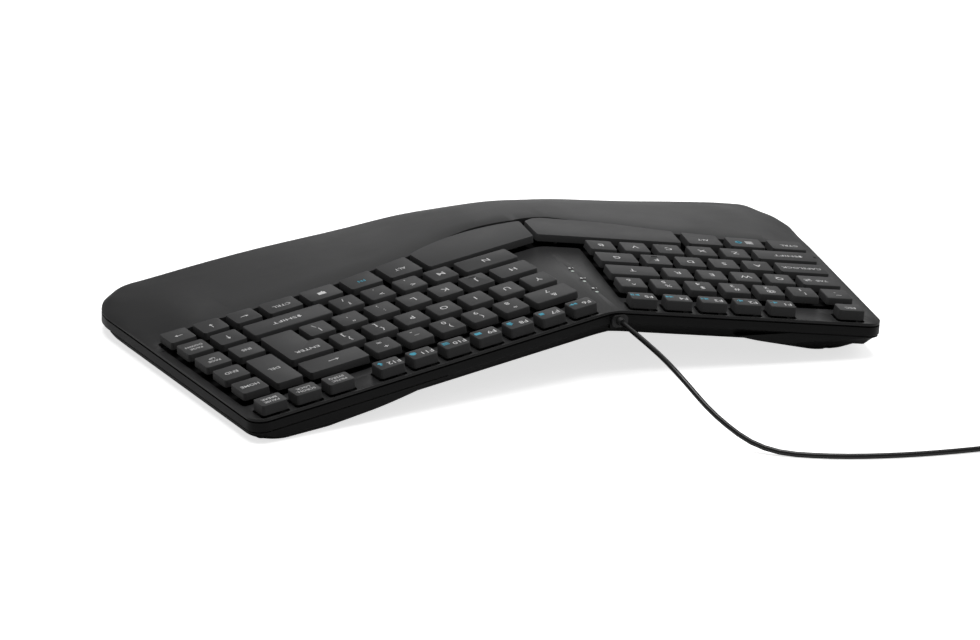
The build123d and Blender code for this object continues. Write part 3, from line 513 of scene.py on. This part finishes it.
def smooth(piece, degrees):
    """Shades smooth, except over edges steeper than this."""
    take(piece)
    bpy.ops.object.shade_smooth_by_angle(angle=math.radians(degrees))
    pick_none()


def sharp(normals, degrees):
    """Whether the two faces of an edge turn by more than this."""
    return normals[0].angle(normals[1], 0) > math.radians(degrees)


def join(pieces, name):
    """One mesh from several, with its place in the mesh."""
    pick_none()
    for piece in pieces:
        piece.select_set(True)
    bpy.context.view_layer.objects.active = pieces[0]
    if len(pieces) > 1:
        bpy.ops.object.join()
    joined = bpy.context.view_layer.objects.active
    joined.name = name
    joined.data.name = name
    bpy.ops.object.transform_apply(location=True, rotation=True, scale=True)
    pick_none()
    return joined


def side_of(node):
    """Half that a key node belongs to."""
    low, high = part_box(node)
    return LEFT if (low.x + high.x) / 2 < RIDGE.x else RIGHT


BODIES = frame["record"]["behaviour"]["bodies"]
MOVING_NODES = sorted(node for body, nodes in BODIES.items() if body != "base" for node in nodes)
CAP_NODES = [node for node in MOVING_NODES if not node.endswith("_stabiliser")]

# Camera of the photograph, from the fit of its key centres: the way back to the camera, the way to its right,
# and its place from RIDGE in metres
CAMERA_BACK = (0.3825, 0.8518, 0.3580)
CAMERA_ACROSS = (-0.918, 0.395, 0.0406)
CAMERA_SPOT = (0.7641, 1.6323, 0.6451)
SENSOR_WIDTH = 36


class KEYBOARD_OT_camera(bpy.types.Operator):
    """Sets the camera behind the keyboard, over the user's right side"""

    bl_idname = "keyboard.camera"
    bl_label = "Camera"

    def execute(self, context):
        back = Vector(CAMERA_BACK).normalized()
        across = Vector(CAMERA_ACROSS)
        across = (across - back * across.dot(back)).normalized()
        over = back.cross(across)
        axes = Matrix((across, over, back)).transposed().to_4x4()
        spot = Vector(CAMERA_SPOT) + RIDGE
        bpy.ops.object.camera_add(location=spot)
        camera = context.object
        camera.name = "View_camera"
        camera.matrix_world = Matrix.Translation(spot) @ axes
        camera.data.sensor_fit = "HORIZONTAL"
        camera.data.sensor_width = SENSOR_WIDTH
        camera.data.lens = lighting().lens
        camera.data.clip_start = 0.05
        context.scene.camera = camera
        return {"FINISHED"}


# The lead, in millimetres: chosen points down to the desk, a coil that goes in and out in four layers, and
# the tail that runs down from the coil into the plug
LEAD_DIAMETER = 2.8
LEAD_ROUTE = [
    (-32.3, 72.0, 30.2),
    (-32.3, 118.0, 30.2),
    (-33.4, 148.0, 26.0),
    (-40.5, 173.0, 13.5),
    (-57.0, 194.0, 1.4),
    (-86.0, 210.0, 1.4),
    (-122.0, 219.5, 1.4),
    (-160.0, 224.0, 1.4),
    (-188.0, 225.8, 2.2),
    (-214.7, 225.8, 2.2),
]
COIL_OUTER = 20.6
COIL_PITCH = 4.15
COIL_RISE = 4.1
LAYER_TURNS = (2.5, 2.5, 2.5, 3.0)
TAIL_RUN = 14.0
TAIL_DROP_RUN = 30.0
PLUG_HEIGHT = 4.1
POINTS_PER_TURN = 16


def coil_points():
    """Control points of the put-away lead: in, up, out, up, and so on."""
    x, y, z = LEAD_ROUTE[-1]
    middle = Vector((x - LEAD_DIAMETER, y - COIL_OUTER, z))
    points = []
    turn, radius, height, direction = 0.0, COIL_OUTER, 0.0, -1
    step = 1 / POINTS_PER_TURN
    # The spline, of order 3, runs inside its control points on a circle by this factor
    reach = 1 / (0.75 + 0.25 * math.cos(2 * math.pi / POINTS_PER_TURN))

    def add():
        angle = 2 * math.pi * (turn + 0.25)
        outwards = Vector((math.cos(angle), math.sin(angle), 0))
        points.append(middle + outwards * radius * reach + Vector((0, 0, height)))

    for layer, turns in enumerate(LAYER_TURNS):
        for _ in range(round(turns * POINTS_PER_TURN)):
            add()
            turn += step
            radius += direction * COIL_PITCH * step
        if layer < len(LAYER_TURNS) - 1:
            for _ in range(POINTS_PER_TURN // 2):
                add()
                turn += step
                height += COIL_RISE * 2 * step
        direction = -direction
    # Level out of the coil, down to the height of the plug, and level into it
    end = middle + Vector((0, radius, height))
    points += [end, end + Vector((-8, 0, 0)), end + Vector((-16, 0, -0.6))]
    drop_end = Vector((end.x - TAIL_RUN - TAIL_DROP_RUN, end.y, PLUG_HEIGHT))
    points += [drop_end + Vector((9, 0, 1.0)), drop_end, drop_end + Vector((-LEAD_DIAMETER, 0, 0))]
    return points


class KEYBOARD_OT_lead(bpy.types.Operator):
    """Lays the USB lead: straight out of the gland, down to the desk and into its coil"""

    bl_idname = "keyboard.lead"
    bl_label = "Lead"

    def execute(self, context):
        # The coil's first point takes the place of the route's last one
        route = [Vector(spot) for spot in LEAD_ROUTE[:-1]] + coil_points()
        curve = bpy.data.curves.new("usb_lead", "CURVE")
        curve.dimensions = "3D"
        spline = curve.splines.new("NURBS")
        spline.points.add(len(route) - 1)
        for point, spot in zip(spline.points, route):
            point.co = (*(spot * MM), 1)
        spline.order_u = 3
        spline.use_endpoint_u = True
        spline.resolution_u = 4
        curve.bevel_depth = LEAD_DIAMETER / 2 * MM
        curve.bevel_resolution = 4
        curve.use_fill_caps = True
        lead = bpy.data.objects.new("usb_lead", curve)
        context.scene.collection.objects.link(lead)
        curve.materials.append(finishes()["lead"])
        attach(lead, "base")
        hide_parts("usb_cable", "cable_coil")
        return {"FINISHED"}


class KEYBOARD_OT_carried_nodes(bpy.types.Operator):
    """Gives the CAD nodes their finishes, also those that a finer piece replaces"""

    bl_idname = "keyboard.carried_nodes"
    bl_label = "Carried nodes"

    def execute(self, context):
        look = finishes()
        worn = {
            # The key frames wear the well finish, whose darker black is partly painted shade
            "left_key_frame": "well",
            "right_key_frame": "well",
            "left_dome_sheet": "silicone",
            "right_dome_sheet": "silicone",
            "membrane": "film",
            "backplate": "steel",
            "controller_board": "board",
            "indicator_lights": "light",
            "indicator_lenses": "lens",
            "case_screws": "screw",
            "rubber_feet": "rubber",
            "cable_gland": "rubber",
            "cable_tie": "rubber",
            "usb_plug_body": "case",
            "usb_plug_shell": "nickel",
            "space_left_stabiliser": "wire",
            "space_right_stabiliser": "wire",
            "bottom_case": "case",
            "top_cover": "cover",
        }
        for node, finish in worn.items():
            give(frame["nodes"][node], look[finish])
        for node in CAP_NODES:
            give(frame["nodes"][node], look["caps"])
        return {"FINISHED"}


# Edges that are rounded: the least turn between the two faces and the turn up to which they are shaded
# smooth, in degrees, a height over the key tops in metres, and how far the normals of the faces point up
PLUG_ROUND = 0.0002
PLUG_TURN, PLUG_SMOOTH = 35, 35
CAP_TURN, CAP_SMOOTH = 30, 50
CAP_EDGES_ABOVE = -0.0034
CAP_FACES_OVER = -0.2
COVER_TURN, COVER_SMOOTH = 38, 35
COVER_FACES_OVER = 0.8
CASE_TURN, CASE_SMOOTH = 28, 32
CASE_UPRIGHT = 0.15
CASE_FACES_UNDER = -0.3


class KEYBOARD_OT_plug(bpy.types.Operator):
    """Rounds the grip of the plug"""

    bl_idname = "keyboard.plug"
    bl_label = "Plug"

    def execute(self, context):
        grip = merged_copy("usb_plug_body", "usb_plug_body_moulded")
        bevel_where(grip, lambda ends, normals: sharp(normals, PLUG_TURN), PLUG_ROUND)
        smooth(grip, PLUG_SMOOTH)
        give(grip, finishes()["case"])
        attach(grip, "base")
        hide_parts("usb_plug_body")
        return {"FINISHED"}


TOP_ROW_CAPS = ("esc", "function_keys_left", "function_keys_right", "print_screen", "scroll_lock", "pause")
SKIRT_RIM_DEPTHS = (0.0036, 0.0040)


def lengthen_skirt(cap, up, distance):
    """Draws the rim of a cap's skirt down by this distance, the way that the key is pressed."""
    least, most = SKIRT_RIM_DEPTHS
    take(cap)
    bpy.ops.object.mode_set(mode="EDIT")
    bpy.ops.mesh.select_mode(type="VERT")
    bpy.ops.mesh.select_all(action="DESELECT")
    bpy.ops.object.mode_set(mode="OBJECT")
    for vertex in cap.data.vertices:
        vertex.select = least < (RIDGE - vertex.co).dot(up) < most
    bpy.ops.object.mode_set(mode="EDIT")
    bpy.ops.transform.translate(value=-up * distance)
    bpy.ops.object.mode_set(mode="OBJECT")


class KEYBOARD_OT_caps(bpy.types.Operator):
    """Makes the key caps with rounded top edges"""

    bl_idname = "keyboard.caps"
    bl_label = "Key caps"

    def execute(self, context):
        look = finishes()["caps"]
        for node in CAP_NODES:
            up = upward(side_of(node))
            cap = merged_copy(node, f"{node}_cap")
            if node in TOP_ROW_CAPS:
                lengthen_skirt(cap, up, sizes().skirt_longer)

            def on_top(ends, normals):
                lowest = min((end - RIDGE).dot(up) for end in ends)
                upmost = max(normal.dot(up) for normal in normals)
                return lowest > CAP_EDGES_ABOVE and sharp(normals, CAP_TURN) and upmost > CAP_FACES_OVER

            bevel_where(cap, on_top, sizes().cap_round)
            smooth(cap, CAP_SMOOTH)
            give(cap, look)
            body = frame["nodes"][node]["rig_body"]
            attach(cap, body)
            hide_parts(node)
        return {"FINISHED"}


class KEYBOARD_OT_cover(bpy.types.Operator):
    """Makes the cover with rounded edges at its rim, wells and slots"""

    bl_idname = "keyboard.cover"
    bl_label = "Cover"

    def execute(self, context):
        cover = merged_copy("top_cover", "top_cover_moulded")

        def outside(ends, normals):
            return sharp(normals, COVER_TURN) and max(normal.z for normal in normals) > COVER_FACES_OVER

        bevel_where(cover, outside, sizes().cover_round)
        smooth(cover, COVER_SMOOTH)
        give(cover, finishes()["cover"])
        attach(cover, "base")
        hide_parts("top_cover")
        return {"FINISHED"}


class KEYBOARD_OT_case(bpy.types.Operator):
    """Smooths the bottom case and rounds the lower edge of its belt"""

    bl_idname = "keyboard.case"
    bl_label = "Bottom case"

    def execute(self, context):
        case = merged_copy("bottom_case", "bottom_case_moulded")

        def belt(ends, normals):
            wall = min(abs(normal.z) for normal in normals) < CASE_UPRIGHT
            under = min(normal.z for normal in normals) < CASE_FACES_UNDER
            return sharp(normals, CASE_TURN) and wall and under

        bevel_where(case, belt, sizes().case_round)
        smooth(case, CASE_SMOOTH)
        give(case, finishes()["case"])
        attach(case, "base")
        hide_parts("bottom_case")
        return {"FINISHED"}


# Legends: words and signs with their u and v in millimetres, on the half that their key belongs to


def spread(text, first_u, row):
    """Letters of a row, one for each key, outwards from the middle."""
    return [(letter, first_u + PITCH * k, ROWS[row]) for k, letter in enumerate(text)]


def pairs(shifted, plain, first_u, row):
    """Two signs on each key, the shifted one behind."""
    marks = []
    for k, (upper, lower) in enumerate(zip(shifted, plain)):
        u = first_u + PITCH * k
        marks.append((upper, u, ROWS[row], "behind"))
        marks.append((lower, u, ROWS[row], "before"))
    return marks


LETTERS = {
    "upper_row_left": spread("T", 36.3, "upper") + spread("REWQ", 61.47, "upper"),
    "upper_row_right": spread("Y", 30.35, "upper") + spread("UIOP", 49.66, "upper"),
    "home_row_left": spread("G", 33.3, "home") + spread("FDSA", 55.48, "home"),
    "home_row_right": spread("H", 33.6, "home") + spread("JKL", 56.16, "home"),
    "lower_row_left": spread("BVCXZ", 30.03, "lower"),
    "lower_row_right": spread("N", 38.5, "lower") + spread("M", 66.14, "lower"),
}
SIGN_PAIRS = {
    "number_keys_left": pairs("^%$#@!~", "654321`", 29.96, "number"),
    "number_keys_right": pairs("&", "7", 35.1, "number") + pairs("*()_+", "890-=", 59.15, "number"),
    "upper_row_right": pairs("{}", "[]", 49.66 + 4 * PITCH, "upper"),
    "home_row_right": pairs(":\"|", ";'\\", 56.16 + 3 * PITCH, "home"),
    "lower_row_right": pairs("<>?", ",./", 66.14 + PITCH, "lower"),
}
WORDS = {
    "esc": ("ESC", 144.2, 78.2),
    "tab": ("TAB", 142.4, 38.0),
    "caps_lock": ("CAPSLOCK", 137.6, 19.0),
    "left_shift": ("SHIFT", 135.2, 0.0),
    "left_ctrl": ("CTRL", 143.0, -17.5),
    "left_alt": ("ALT", 93.5, -18.5),
    "right_alt": ("ALT", 79.6, -18.8),
    "right_ctrl": ("CTRL", 151.4, -17.5),
    "right_shift": ("SHIFT", 159.4, 0.0),
    "enter": ("ENTER", 167.5, 38.0),
    "insert": ("INS", 191.9, 19.0),
    "delete": ("DEL", 191.8, 47.5),
    "home": ("HOME", 210.75, 57.0),
    "end": ("END", 210.85, 38.0),
}
TWO_LINES = {
    "page_up": ("PAGE", "UP", 210.9, 19.0),
    "page_down": ("PAGE", "DOWN", 210.95, 0.0),
    "print_screen": ("PRTSC", "SYSRQ", 172.9, 77.4),
    "scroll_lock": ("SCROLL", "LOCK", 191.6, 77.4),
    "pause": ("PAUSE", "BREAK", 210.7, 77.4),
}
FN_WORD = ("FN", 103.5, -18.0)
FUNCTION_KEYS = {"function_keys_left": 5, "function_keys_right": 7}
FUNCTION_FIRST_U = 30.1

# How far a mark stands outwards and behind from the middle of its key, in millimetres
PAIR_SHIFTS = {"behind": (-0.6, 2.5), "before": (0.6, -2.9)}
LINE_SHIFTS = (1.7, -1.5)
F_NUMBER_SHIFT = (-3.0, 0.7)
BLUE_SIGN_SHIFT = (4.0, -1.0)

# Width of the print against its font, and sizes against the heights that a user can change
LETTER_STRETCH = 1.2
WORD_STRETCH = 1.1
WIDE_WORDS = {
    "left_shift": 1.7,
    "right_shift": 1.7,
    "caps_lock": 1.35,
    "left_ctrl": 1.3,
    "right_ctrl": 1.3,
    "enter": 1.4,
}
PAIR_SCALE = 0.9
F_NUMBER_SCALE = 1.3
BLUE_SIGN_SCALE = 1.3
CAPITAL_HEIGHT = 0.72
STROKE_GAIN = 0.004


def function_keys(node):
    """Side, number and u of each function key of a half, outwards from the middle."""
    side = side_of(node)
    for k in range(FUNCTION_KEYS[node]):
        number = 5 - k if side == LEFT else 6 + k
        yield side, number, FUNCTION_FIRST_U + PITCH * k


def word(text, side, u, v, height, stretch=LETTER_STRETCH):
    """Raised print on a key top, centred on u and v and read from the user's side."""
    bpy.ops.object.text_add()
    piece = bpy.context.object
    piece.data.body = text
    piece.data.align_x = "CENTER"
    piece.data.align_y = "CENTER"
    piece.data.size = height / CAPITAL_HEIGHT
    piece.data.resolution_u = 2
    piece.data.extrude = sizes().ink
    piece.data.offset = height * STROKE_GAIN
    bpy.ops.object.convert(target="MESH")
    piece = bpy.context.object
    piece.matrix_world = place(side, u, v) @ Matrix.Diagonal((stretch, 1, 1, 1))
    bpy.ops.object.transform_apply(location=True, rotation=True, scale=True)
    return piece


def sign(side, u, v, corners):
    """Raised sign from polygons, whose corners are in millimetres about u and v."""
    pieces = []
    for polygon in corners:
        bpy.ops.mesh.primitive_circle_add(vertices=len(polygon), radius=0.001, fill_type="NGON")
        piece = bpy.context.object
        for vertex, (x, y) in zip(piece.data.vertices, polygon):
            vertex.co = (x * MM, y * MM, -sizes().ink)
        take(piece)
        bpy.ops.object.mode_set(mode="EDIT")
        bpy.ops.mesh.select_all(action="SELECT")
        bpy.ops.mesh.extrude_region_move(TRANSFORM_OT_translate={"value": (0, 0, 2 * sizes().ink)})
        bpy.ops.mesh.select_all(action="SELECT")
        bpy.ops.mesh.normals_make_consistent(inside=False)
        bpy.ops.object.mode_set(mode="OBJECT")
        piece.matrix_world = place(side, u, v)
        bpy.ops.object.transform_apply(location=True, rotation=True, scale=True)
        pieces.append(piece)
    return pieces


def resized(corners, factor):
    """Polygons made larger or smaller about u and v."""
    return [[(x * factor, y * factor) for x, y in polygon] for polygon in corners]


def turned(polygon, quarter_turns):
    """Polygon turned to the left by quarter turns."""
    for _ in range(quarter_turns % 4):
        polygon = [(-y, x) for x, y in polygon]
    return polygon


def arrow(quarter_turns, length):
    """Thin arrow to the user's right, turned to the left by quarter turns."""
    half = length / 2
    shaft = [(-half, -0.2), (half - 1.0, -0.2), (half - 1.0, 0.2), (-half, 0.2)]
    head = [(half - 1.6, -1.0), (half, 0), (half - 1.6, 1.0)]
    return [turned(shaft, quarter_turns), turned(head, quarter_turns)]


def bar(x, y, width, height):
    """Rectangle about its middle."""
    left, right = x - width / 2, x + width / 2
    low, high = y - height / 2, y + height / 2
    return [(left, low), (right, low), (right, high), (left, high)]


def pointer(x, size, direction):
    """Triangle that points to the user's right, or to the left where the direction is -1."""
    base, tip = x - direction * size / 2, x + direction * size / 2
    return [(base, -size / 2), (tip, 0), (base, size / 2)]


SPEAKER = [[(-1.5, -0.5), (-0.7, -0.5), (0.1, -1.2), (0.1, 1.2), (-0.7, 0.5), (-1.5, 0.5)]]
SHIFT_SIGN = [[(0, 1.5), (-1.4, 0.1), (-0.65, 0.1), (-0.65, -1.3), (0.65, -1.3), (0.65, 0.1), (1.4, 0.1)]]
SECOND_FUNCTIONS = [
    SPEAKER + [bar(1.1, 0, 0.9, 0.3)],
    SPEAKER + [bar(0.8, 0, 0.3, 1.1)],
    SPEAKER + [bar(0.8, 0, 0.3, 1.1), bar(1.4, 0, 0.3, 1.9)],
    [pointer(-0.8, 1.8, -1), pointer(0.8, 1.8, -1)],
    [pointer(-0.8, 2.0, 1), bar(0.7, 0, 0.45, 2.0), bar(1.5, 0, 0.45, 2.0)],
    [pointer(-0.8, 1.8, 1), pointer(0.8, 1.8, 1)],
    [bar(0, 0, 1.9, 1.9)],
    [[(0, 1.5), (-1.5, 0.1), (1.5, 0.1)], bar(0, -0.7, 2.0, 1.2)],
    [bar(0, 0, 2.8, 1.9)],
    [bar(0, 0.7, 2.8, 0.45), bar(0, -0.1, 2.8, 0.45), bar(0, -0.9, 2.8, 0.45)],
    [[(0.0, 1.4), (-1.3, 0.5), (-1.3, -0.9), (0.0, -1.4), (1.3, -0.9), (1.3, 0.5)]],
    [[(0, -1.5), (-1.2, 0.0), (-0.45, 0.0), (-0.45, 1.3), (0.45, 1.3), (0.45, 0.0), (1.2, 0.0)]],
]
THREE_LINES = [bar(0, y, 4.2, 0.8) for y in (1.5, 0, -1.5)]
SPEECH_BUBBLE = [[(-2.2, -0.9), (-1.2, -0.9), (-1.2, -2.0), (0, -0.9), (2.2, -0.9), (2.2, 1.9), (-2.2, 1.9)]]
SIGNS = {
    "left_shift": [(143.4, 0.0, SHIFT_SIGN)],
    "right_shift": [(150.8, 0.0, SHIFT_SIGN)],
    "tab": [(134.6, 38.6, arrow(0, 4.2)), (134.6, 36.8, arrow(2, 4.2))],
    "backspace": [(163.4, 57.0, arrow(2, 6.0))],
    "arrow_up": [(192.0, 0.0, arrow(1, 4.4))],
    "arrow_left": [(173.0, -17.5, arrow(2, 4.4))],
    "arrow_down": [(192.1, -17.5, arrow(3, 4.4))],
    "arrow_right": [(211.1, -17.5, arrow(0, 4.4))],
    "left_menu": [(120.0, -18.2, THREE_LINES)],
    "assistant_key": [(127.6, -18.0, SPEECH_BUBBLE)],
}
COG = resized([bar(0, 0, 1.1, 2.6), bar(0, 0, 2.6, 1.1), bar(0, 0, 1.9, 1.9)], 1.45)
COG_PLACE = (113.9, -18.2)
LOCK_BODY = bar(0, -0.5, 2.0, 1.5)
LOCK_BOW = [bar(-0.7, 0.7, 0.35, 1.1), bar(0.7, 0.7, 0.35, 1.1), bar(0, 1.25, 1.75, 0.35)]
LOCK = resized([LOCK_BODY, *LOCK_BOW], 0.6)


def printed(node, pieces, colour, label):
    """Joins the print of one key or group, in one ink, and lets it ride with its caps."""
    piece = join(pieces, f"{node}_{label}")
    give(piece, finishes()[colour])
    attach(piece, frame["nodes"][node]["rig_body"])
    return piece


class KEYBOARD_OT_legends(bpy.types.Operator):
    """Prints the letters, numbers and words on the caps"""

    bl_idname = "keyboard.legends"
    bl_label = "Legends"

    def execute(self, context):
        pick_none()
        tall, wide, small = sizes().letter_height, sizes().word_height, sizes().small_height
        made = {}

        def add(node, pieces):
            made.setdefault(node, []).extend(pieces)

        for node, marks in LETTERS.items():
            add(node, [word(text, side_of(node), u, v, tall) for text, u, v in marks])
        for node, marks in SIGN_PAIRS.items():
            side = side_of(node)
            for text, u, v, where in marks:
                outwards, behind = PAIR_SHIFTS[where]
                add(node, [word(text, side, u + outwards * side, v + behind, tall * PAIR_SCALE)])
        for node, (text, u, v) in WORDS.items():
            add(node, [word(text, side_of(node), u, v, wide, WIDE_WORDS.get(node, WORD_STRETCH))])
        for node, (*lines, u, v) in TWO_LINES.items():
            for text, behind in zip(lines, LINE_SHIFTS):
                add(node, [word(text, side_of(node), u, v + behind, small, WORD_STRETCH)])
        outwards, behind = F_NUMBER_SHIFT
        for node in FUNCTION_KEYS:
            for side, number, u in function_keys(node):
                spot = (u + outwards * side, ROWS["function"] + behind)
                add(node, [word(f"F{number}", side, *spot, wide * F_NUMBER_SCALE)])
        for node, signs in SIGNS.items():
            for u, v, corners in signs:
                add(node, sign(side_of(node), u, v, corners))
        for node, pieces in made.items():
            printed(node, pieces, "white", "legend")
        return {"FINISHED"}


class KEYBOARD_OT_second_functions(bpy.types.Operator):
    """Prints the blue signs of the second functions"""

    bl_idname = "keyboard.second_functions"
    bl_label = "Second functions"

    def execute(self, context):
        pick_none()
        outwards, behind = BLUE_SIGN_SHIFT
        for node in FUNCTION_KEYS:
            pieces = []
            for side, number, u in function_keys(node):
                second = resized(SECOND_FUNCTIONS[number - 1], BLUE_SIGN_SCALE)
                pieces += sign(side, u + outwards * side, ROWS["function"] + behind, second)
            printed(node, pieces, "blue", "blue_signs")
        text, u, v = FN_WORD
        printed("fn", [word(text, RIGHT, u, v, sizes().word_height, WORD_STRETCH)], "blue", "blue_legend")
        printed("left_menu", sign(LEFT, *COG_PLACE, COG), "blue", "blue_sign")
        return {"FINISHED"}


# Signs on the centre line: how far each stands from RIDGE, away from the user and across, and where its letter
# stands beside the lock, in millimetres; the height of the letter is in metres
INDICATORS = {"1": 54.5, "A": 40.0, "S": 25.0}
INDICATOR_X = -2.0
INDICATOR_LETTER_X = -1.9
INDICATOR_LETTER_HEIGHT = 0.0014


class KEYBOARD_OT_indicator_signs(bpy.types.Operator):
    """Prints the three signs beside the indicator lenses"""

    bl_idname = "keyboard.indicator_signs"
    bl_label = "Indicator signs"

    def execute(self, context):
        pick_none()
        normal = Vector((0, math.sin(TENT) * math.sin(SPLAY), math.cos(TENT))).normalized()
        across = Vector((1, 0, 0))
        axes = Matrix((across, normal.cross(across), normal)).transposed().to_4x4()
        off_key_top = place(RIGHT, 0, 0).inverted()
        beside = Matrix.Translation((INDICATOR_LETTER_X * MM, 0, 0))
        pieces = []
        for name, y in INDICATORS.items():
            drop = (DECK_DEPTH + normal.y * y) / normal.z
            level = Vector((INDICATOR_X, y, 0)) * MM
            spot = Matrix.Translation(RIDGE + level + Vector((0, 0, -drop * MM))) @ axes
            for piece in sign(RIGHT, 0, 0, LOCK):
                piece.data.transform(spot @ off_key_top)
                pieces.append(piece)
            letter = word(name, RIGHT, 0, 0, INDICATOR_LETTER_HEIGHT, 1.0)
            letter.data.transform(spot @ beside @ off_key_top)
            pieces.append(letter)
        piece = join(pieces, "indicator_signs")
        give(piece, finishes()["white"])
        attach(piece, "base")
        return {"FINISHED"}


def studio_white():
    """Finish of the floor, white to the camera and in reflections, which still takes the shadow."""
    material = bpy.data.materials.new("Studio floor")
    material.use_nodes = True
    nodes, links = material.node_tree.nodes, material.node_tree.links
    surface = nodes["Principled BSDF"]
    surface.inputs["Roughness"].default_value = 0.9
    surface.inputs["Specular IOR Level"].default_value = 0.0
    surface.inputs["Emission Color"].default_value = (1, 1, 1, 1)
    path = nodes.new("ShaderNodeLightPath")
    mirrored = nodes.new("ShaderNodeMath")
    mirrored.operation = "MAXIMUM"
    links.new(path.outputs["Is Glossy Ray"], mirrored.inputs[0])
    links.new(path.outputs["Is Transmission Ray"], mirrored.inputs[1])
    seen = nodes.new("ShaderNodeMath")
    seen.operation = "MAXIMUM"
    links.new(path.outputs["Is Camera Ray"], seen.inputs[0])
    links.new(mirrored.outputs["Value"], seen.inputs[1])
    shade = nodes.new("ShaderNodeMix")
    shade.data_type = "RGBA"
    shade.inputs["A"].default_value = colours().floor_bounce
    shade.inputs["B"].default_value = colours().floor
    links.new(seen.outputs["Value"], shade.inputs["Factor"])
    links.new(shade.outputs["Result"], surface.inputs["Base Color"])
    lift = nodes.new("ShaderNodeMath")
    lift.operation = "MULTIPLY"
    lift.inputs[1].default_value = lighting().floor_lift
    links.new(path.outputs["Is Camera Ray"], lift.inputs[0])
    links.new(lift.outputs["Value"], surface.inputs["Emission Strength"])
    return material


FLOOR_SIZE = 14

# Lamps: name, place, the point that it looks at, its width in metres, and the value that holds its power
LAMPS = [
    ("Top_lamp", (0.0, -0.1, 1.6), (0, 0, 0), 1.3, "top_light"),
    ("Side_lamp", (-1.3, 0.2, 0.9), (-0.05, 0, 0.02), 0.9, "side_light"),
    ("Front_lamp", (-0.66, -1.28, 0.56), (0, 0, 0.02), 0.8, "front_light"),
]


class KEYBOARD_OT_stage(bpy.types.Operator):
    """Builds the pale floor, the soft lamps and the sky"""

    bl_idname = "keyboard.stage"
    bl_label = "Stage"

    def execute(self, context):
        bpy.ops.mesh.primitive_plane_add(size=FLOOR_SIZE, location=(0, 0, 0))
        floor = context.object
        floor.name = "Studio_floor"
        give(floor, studio_white())
        for name, spot, aim, width, power in LAMPS:
            bpy.ops.object.light_add(type="AREA", location=spot)
            lamp = context.object
            lamp.name = name
            lamp.data.size = width
            lamp.data.energy = getattr(lighting(), power)
            lamp.rotation_euler = (Vector(aim) - Vector(spot)).to_track_quat("-Z", "Y").to_euler()
        world = context.scene.world or bpy.data.worlds.new("Studio sky")
        context.scene.world = world
        world.use_nodes = True
        nodes, links = world.node_tree.nodes, world.node_tree.links
        sky = nodes["Background"]
        sky.inputs["Color"].default_value = (1, 1, 1, 1)
        sky.inputs["Strength"].default_value = lighting().sky
        seen = nodes.new("ShaderNodeBackground")
        seen.inputs["Color"].default_value = (1, 1, 1, 1)
        seen.inputs["Strength"].default_value = 1.0
        path = nodes.new("ShaderNodeLightPath")
        blend = nodes.new("ShaderNodeMixShader")
        links.new(path.outputs["Is Camera Ray"], blend.inputs["Fac"])
        links.new(sky.outputs["Background"], blend.inputs[1])
        links.new(seen.outputs["Background"], blend.inputs[2])
        links.new(blend.outputs["Shader"], nodes["World Output"].inputs["Surface"])
        context.scene.view_settings.view_transform = "Standard"
        return {"FINISHED"}


class KEYBOARD_PT_panel(bpy.types.Panel):
    """Lists the keyboard's operators and the values behind them"""

    bl_label = "Ergonomic keyboard"
    bl_idname = "KEYBOARD_PT_panel"
    bl_space_type = "VIEW_3D"
    bl_region_type = "UI"
    bl_category = "Keyboard"

    def draw(self, context):
        column = self.layout.column()
        for operator in OPERATORS:
            column.operator(operator.bl_idname)
        for group in (sizes(), colours(), lighting()):
            for name in group.__annotations__:
                column.prop(group, name)


OPERATORS = (
    KEYBOARD_OT_camera,
    KEYBOARD_OT_plug,
    KEYBOARD_OT_lead,
    KEYBOARD_OT_carried_nodes,
    KEYBOARD_OT_case,
    KEYBOARD_OT_cover,
    KEYBOARD_OT_caps,
    KEYBOARD_OT_legends,
    KEYBOARD_OT_second_functions,
    KEYBOARD_OT_indicator_signs,
    KEYBOARD_OT_stage,
)
CLASSES = (KeyboardSizes, KeyboardColours, KeyboardStage, *OPERATORS, KEYBOARD_PT_panel)


def register():
    for cls in CLASSES:
        bpy.utils.register_class(cls)
    bpy.types.Scene.keyboard_sizes = bpy.props.PointerProperty(type=KeyboardSizes)
    bpy.types.Scene.keyboard_colours = bpy.props.PointerProperty(type=KeyboardColours)
    bpy.types.Scene.keyboard_stage = bpy.props.PointerProperty(type=KeyboardStage)


def unregister():
    del bpy.types.Scene.keyboard_stage
    del bpy.types.Scene.keyboard_colours
    del bpy.types.Scene.keyboard_sizes
    for cls in reversed(CLASSES):
        bpy.utils.unregister_class(cls)


def main():
    """Builds the dressed keyboard and its stage."""
    register()
    for operator in OPERATORS:
        group, name = operator.bl_idname.split(".")
        getattr(getattr(bpy.ops, group), name)()
    pick_none()


if __name__ == "__main__":
    main()
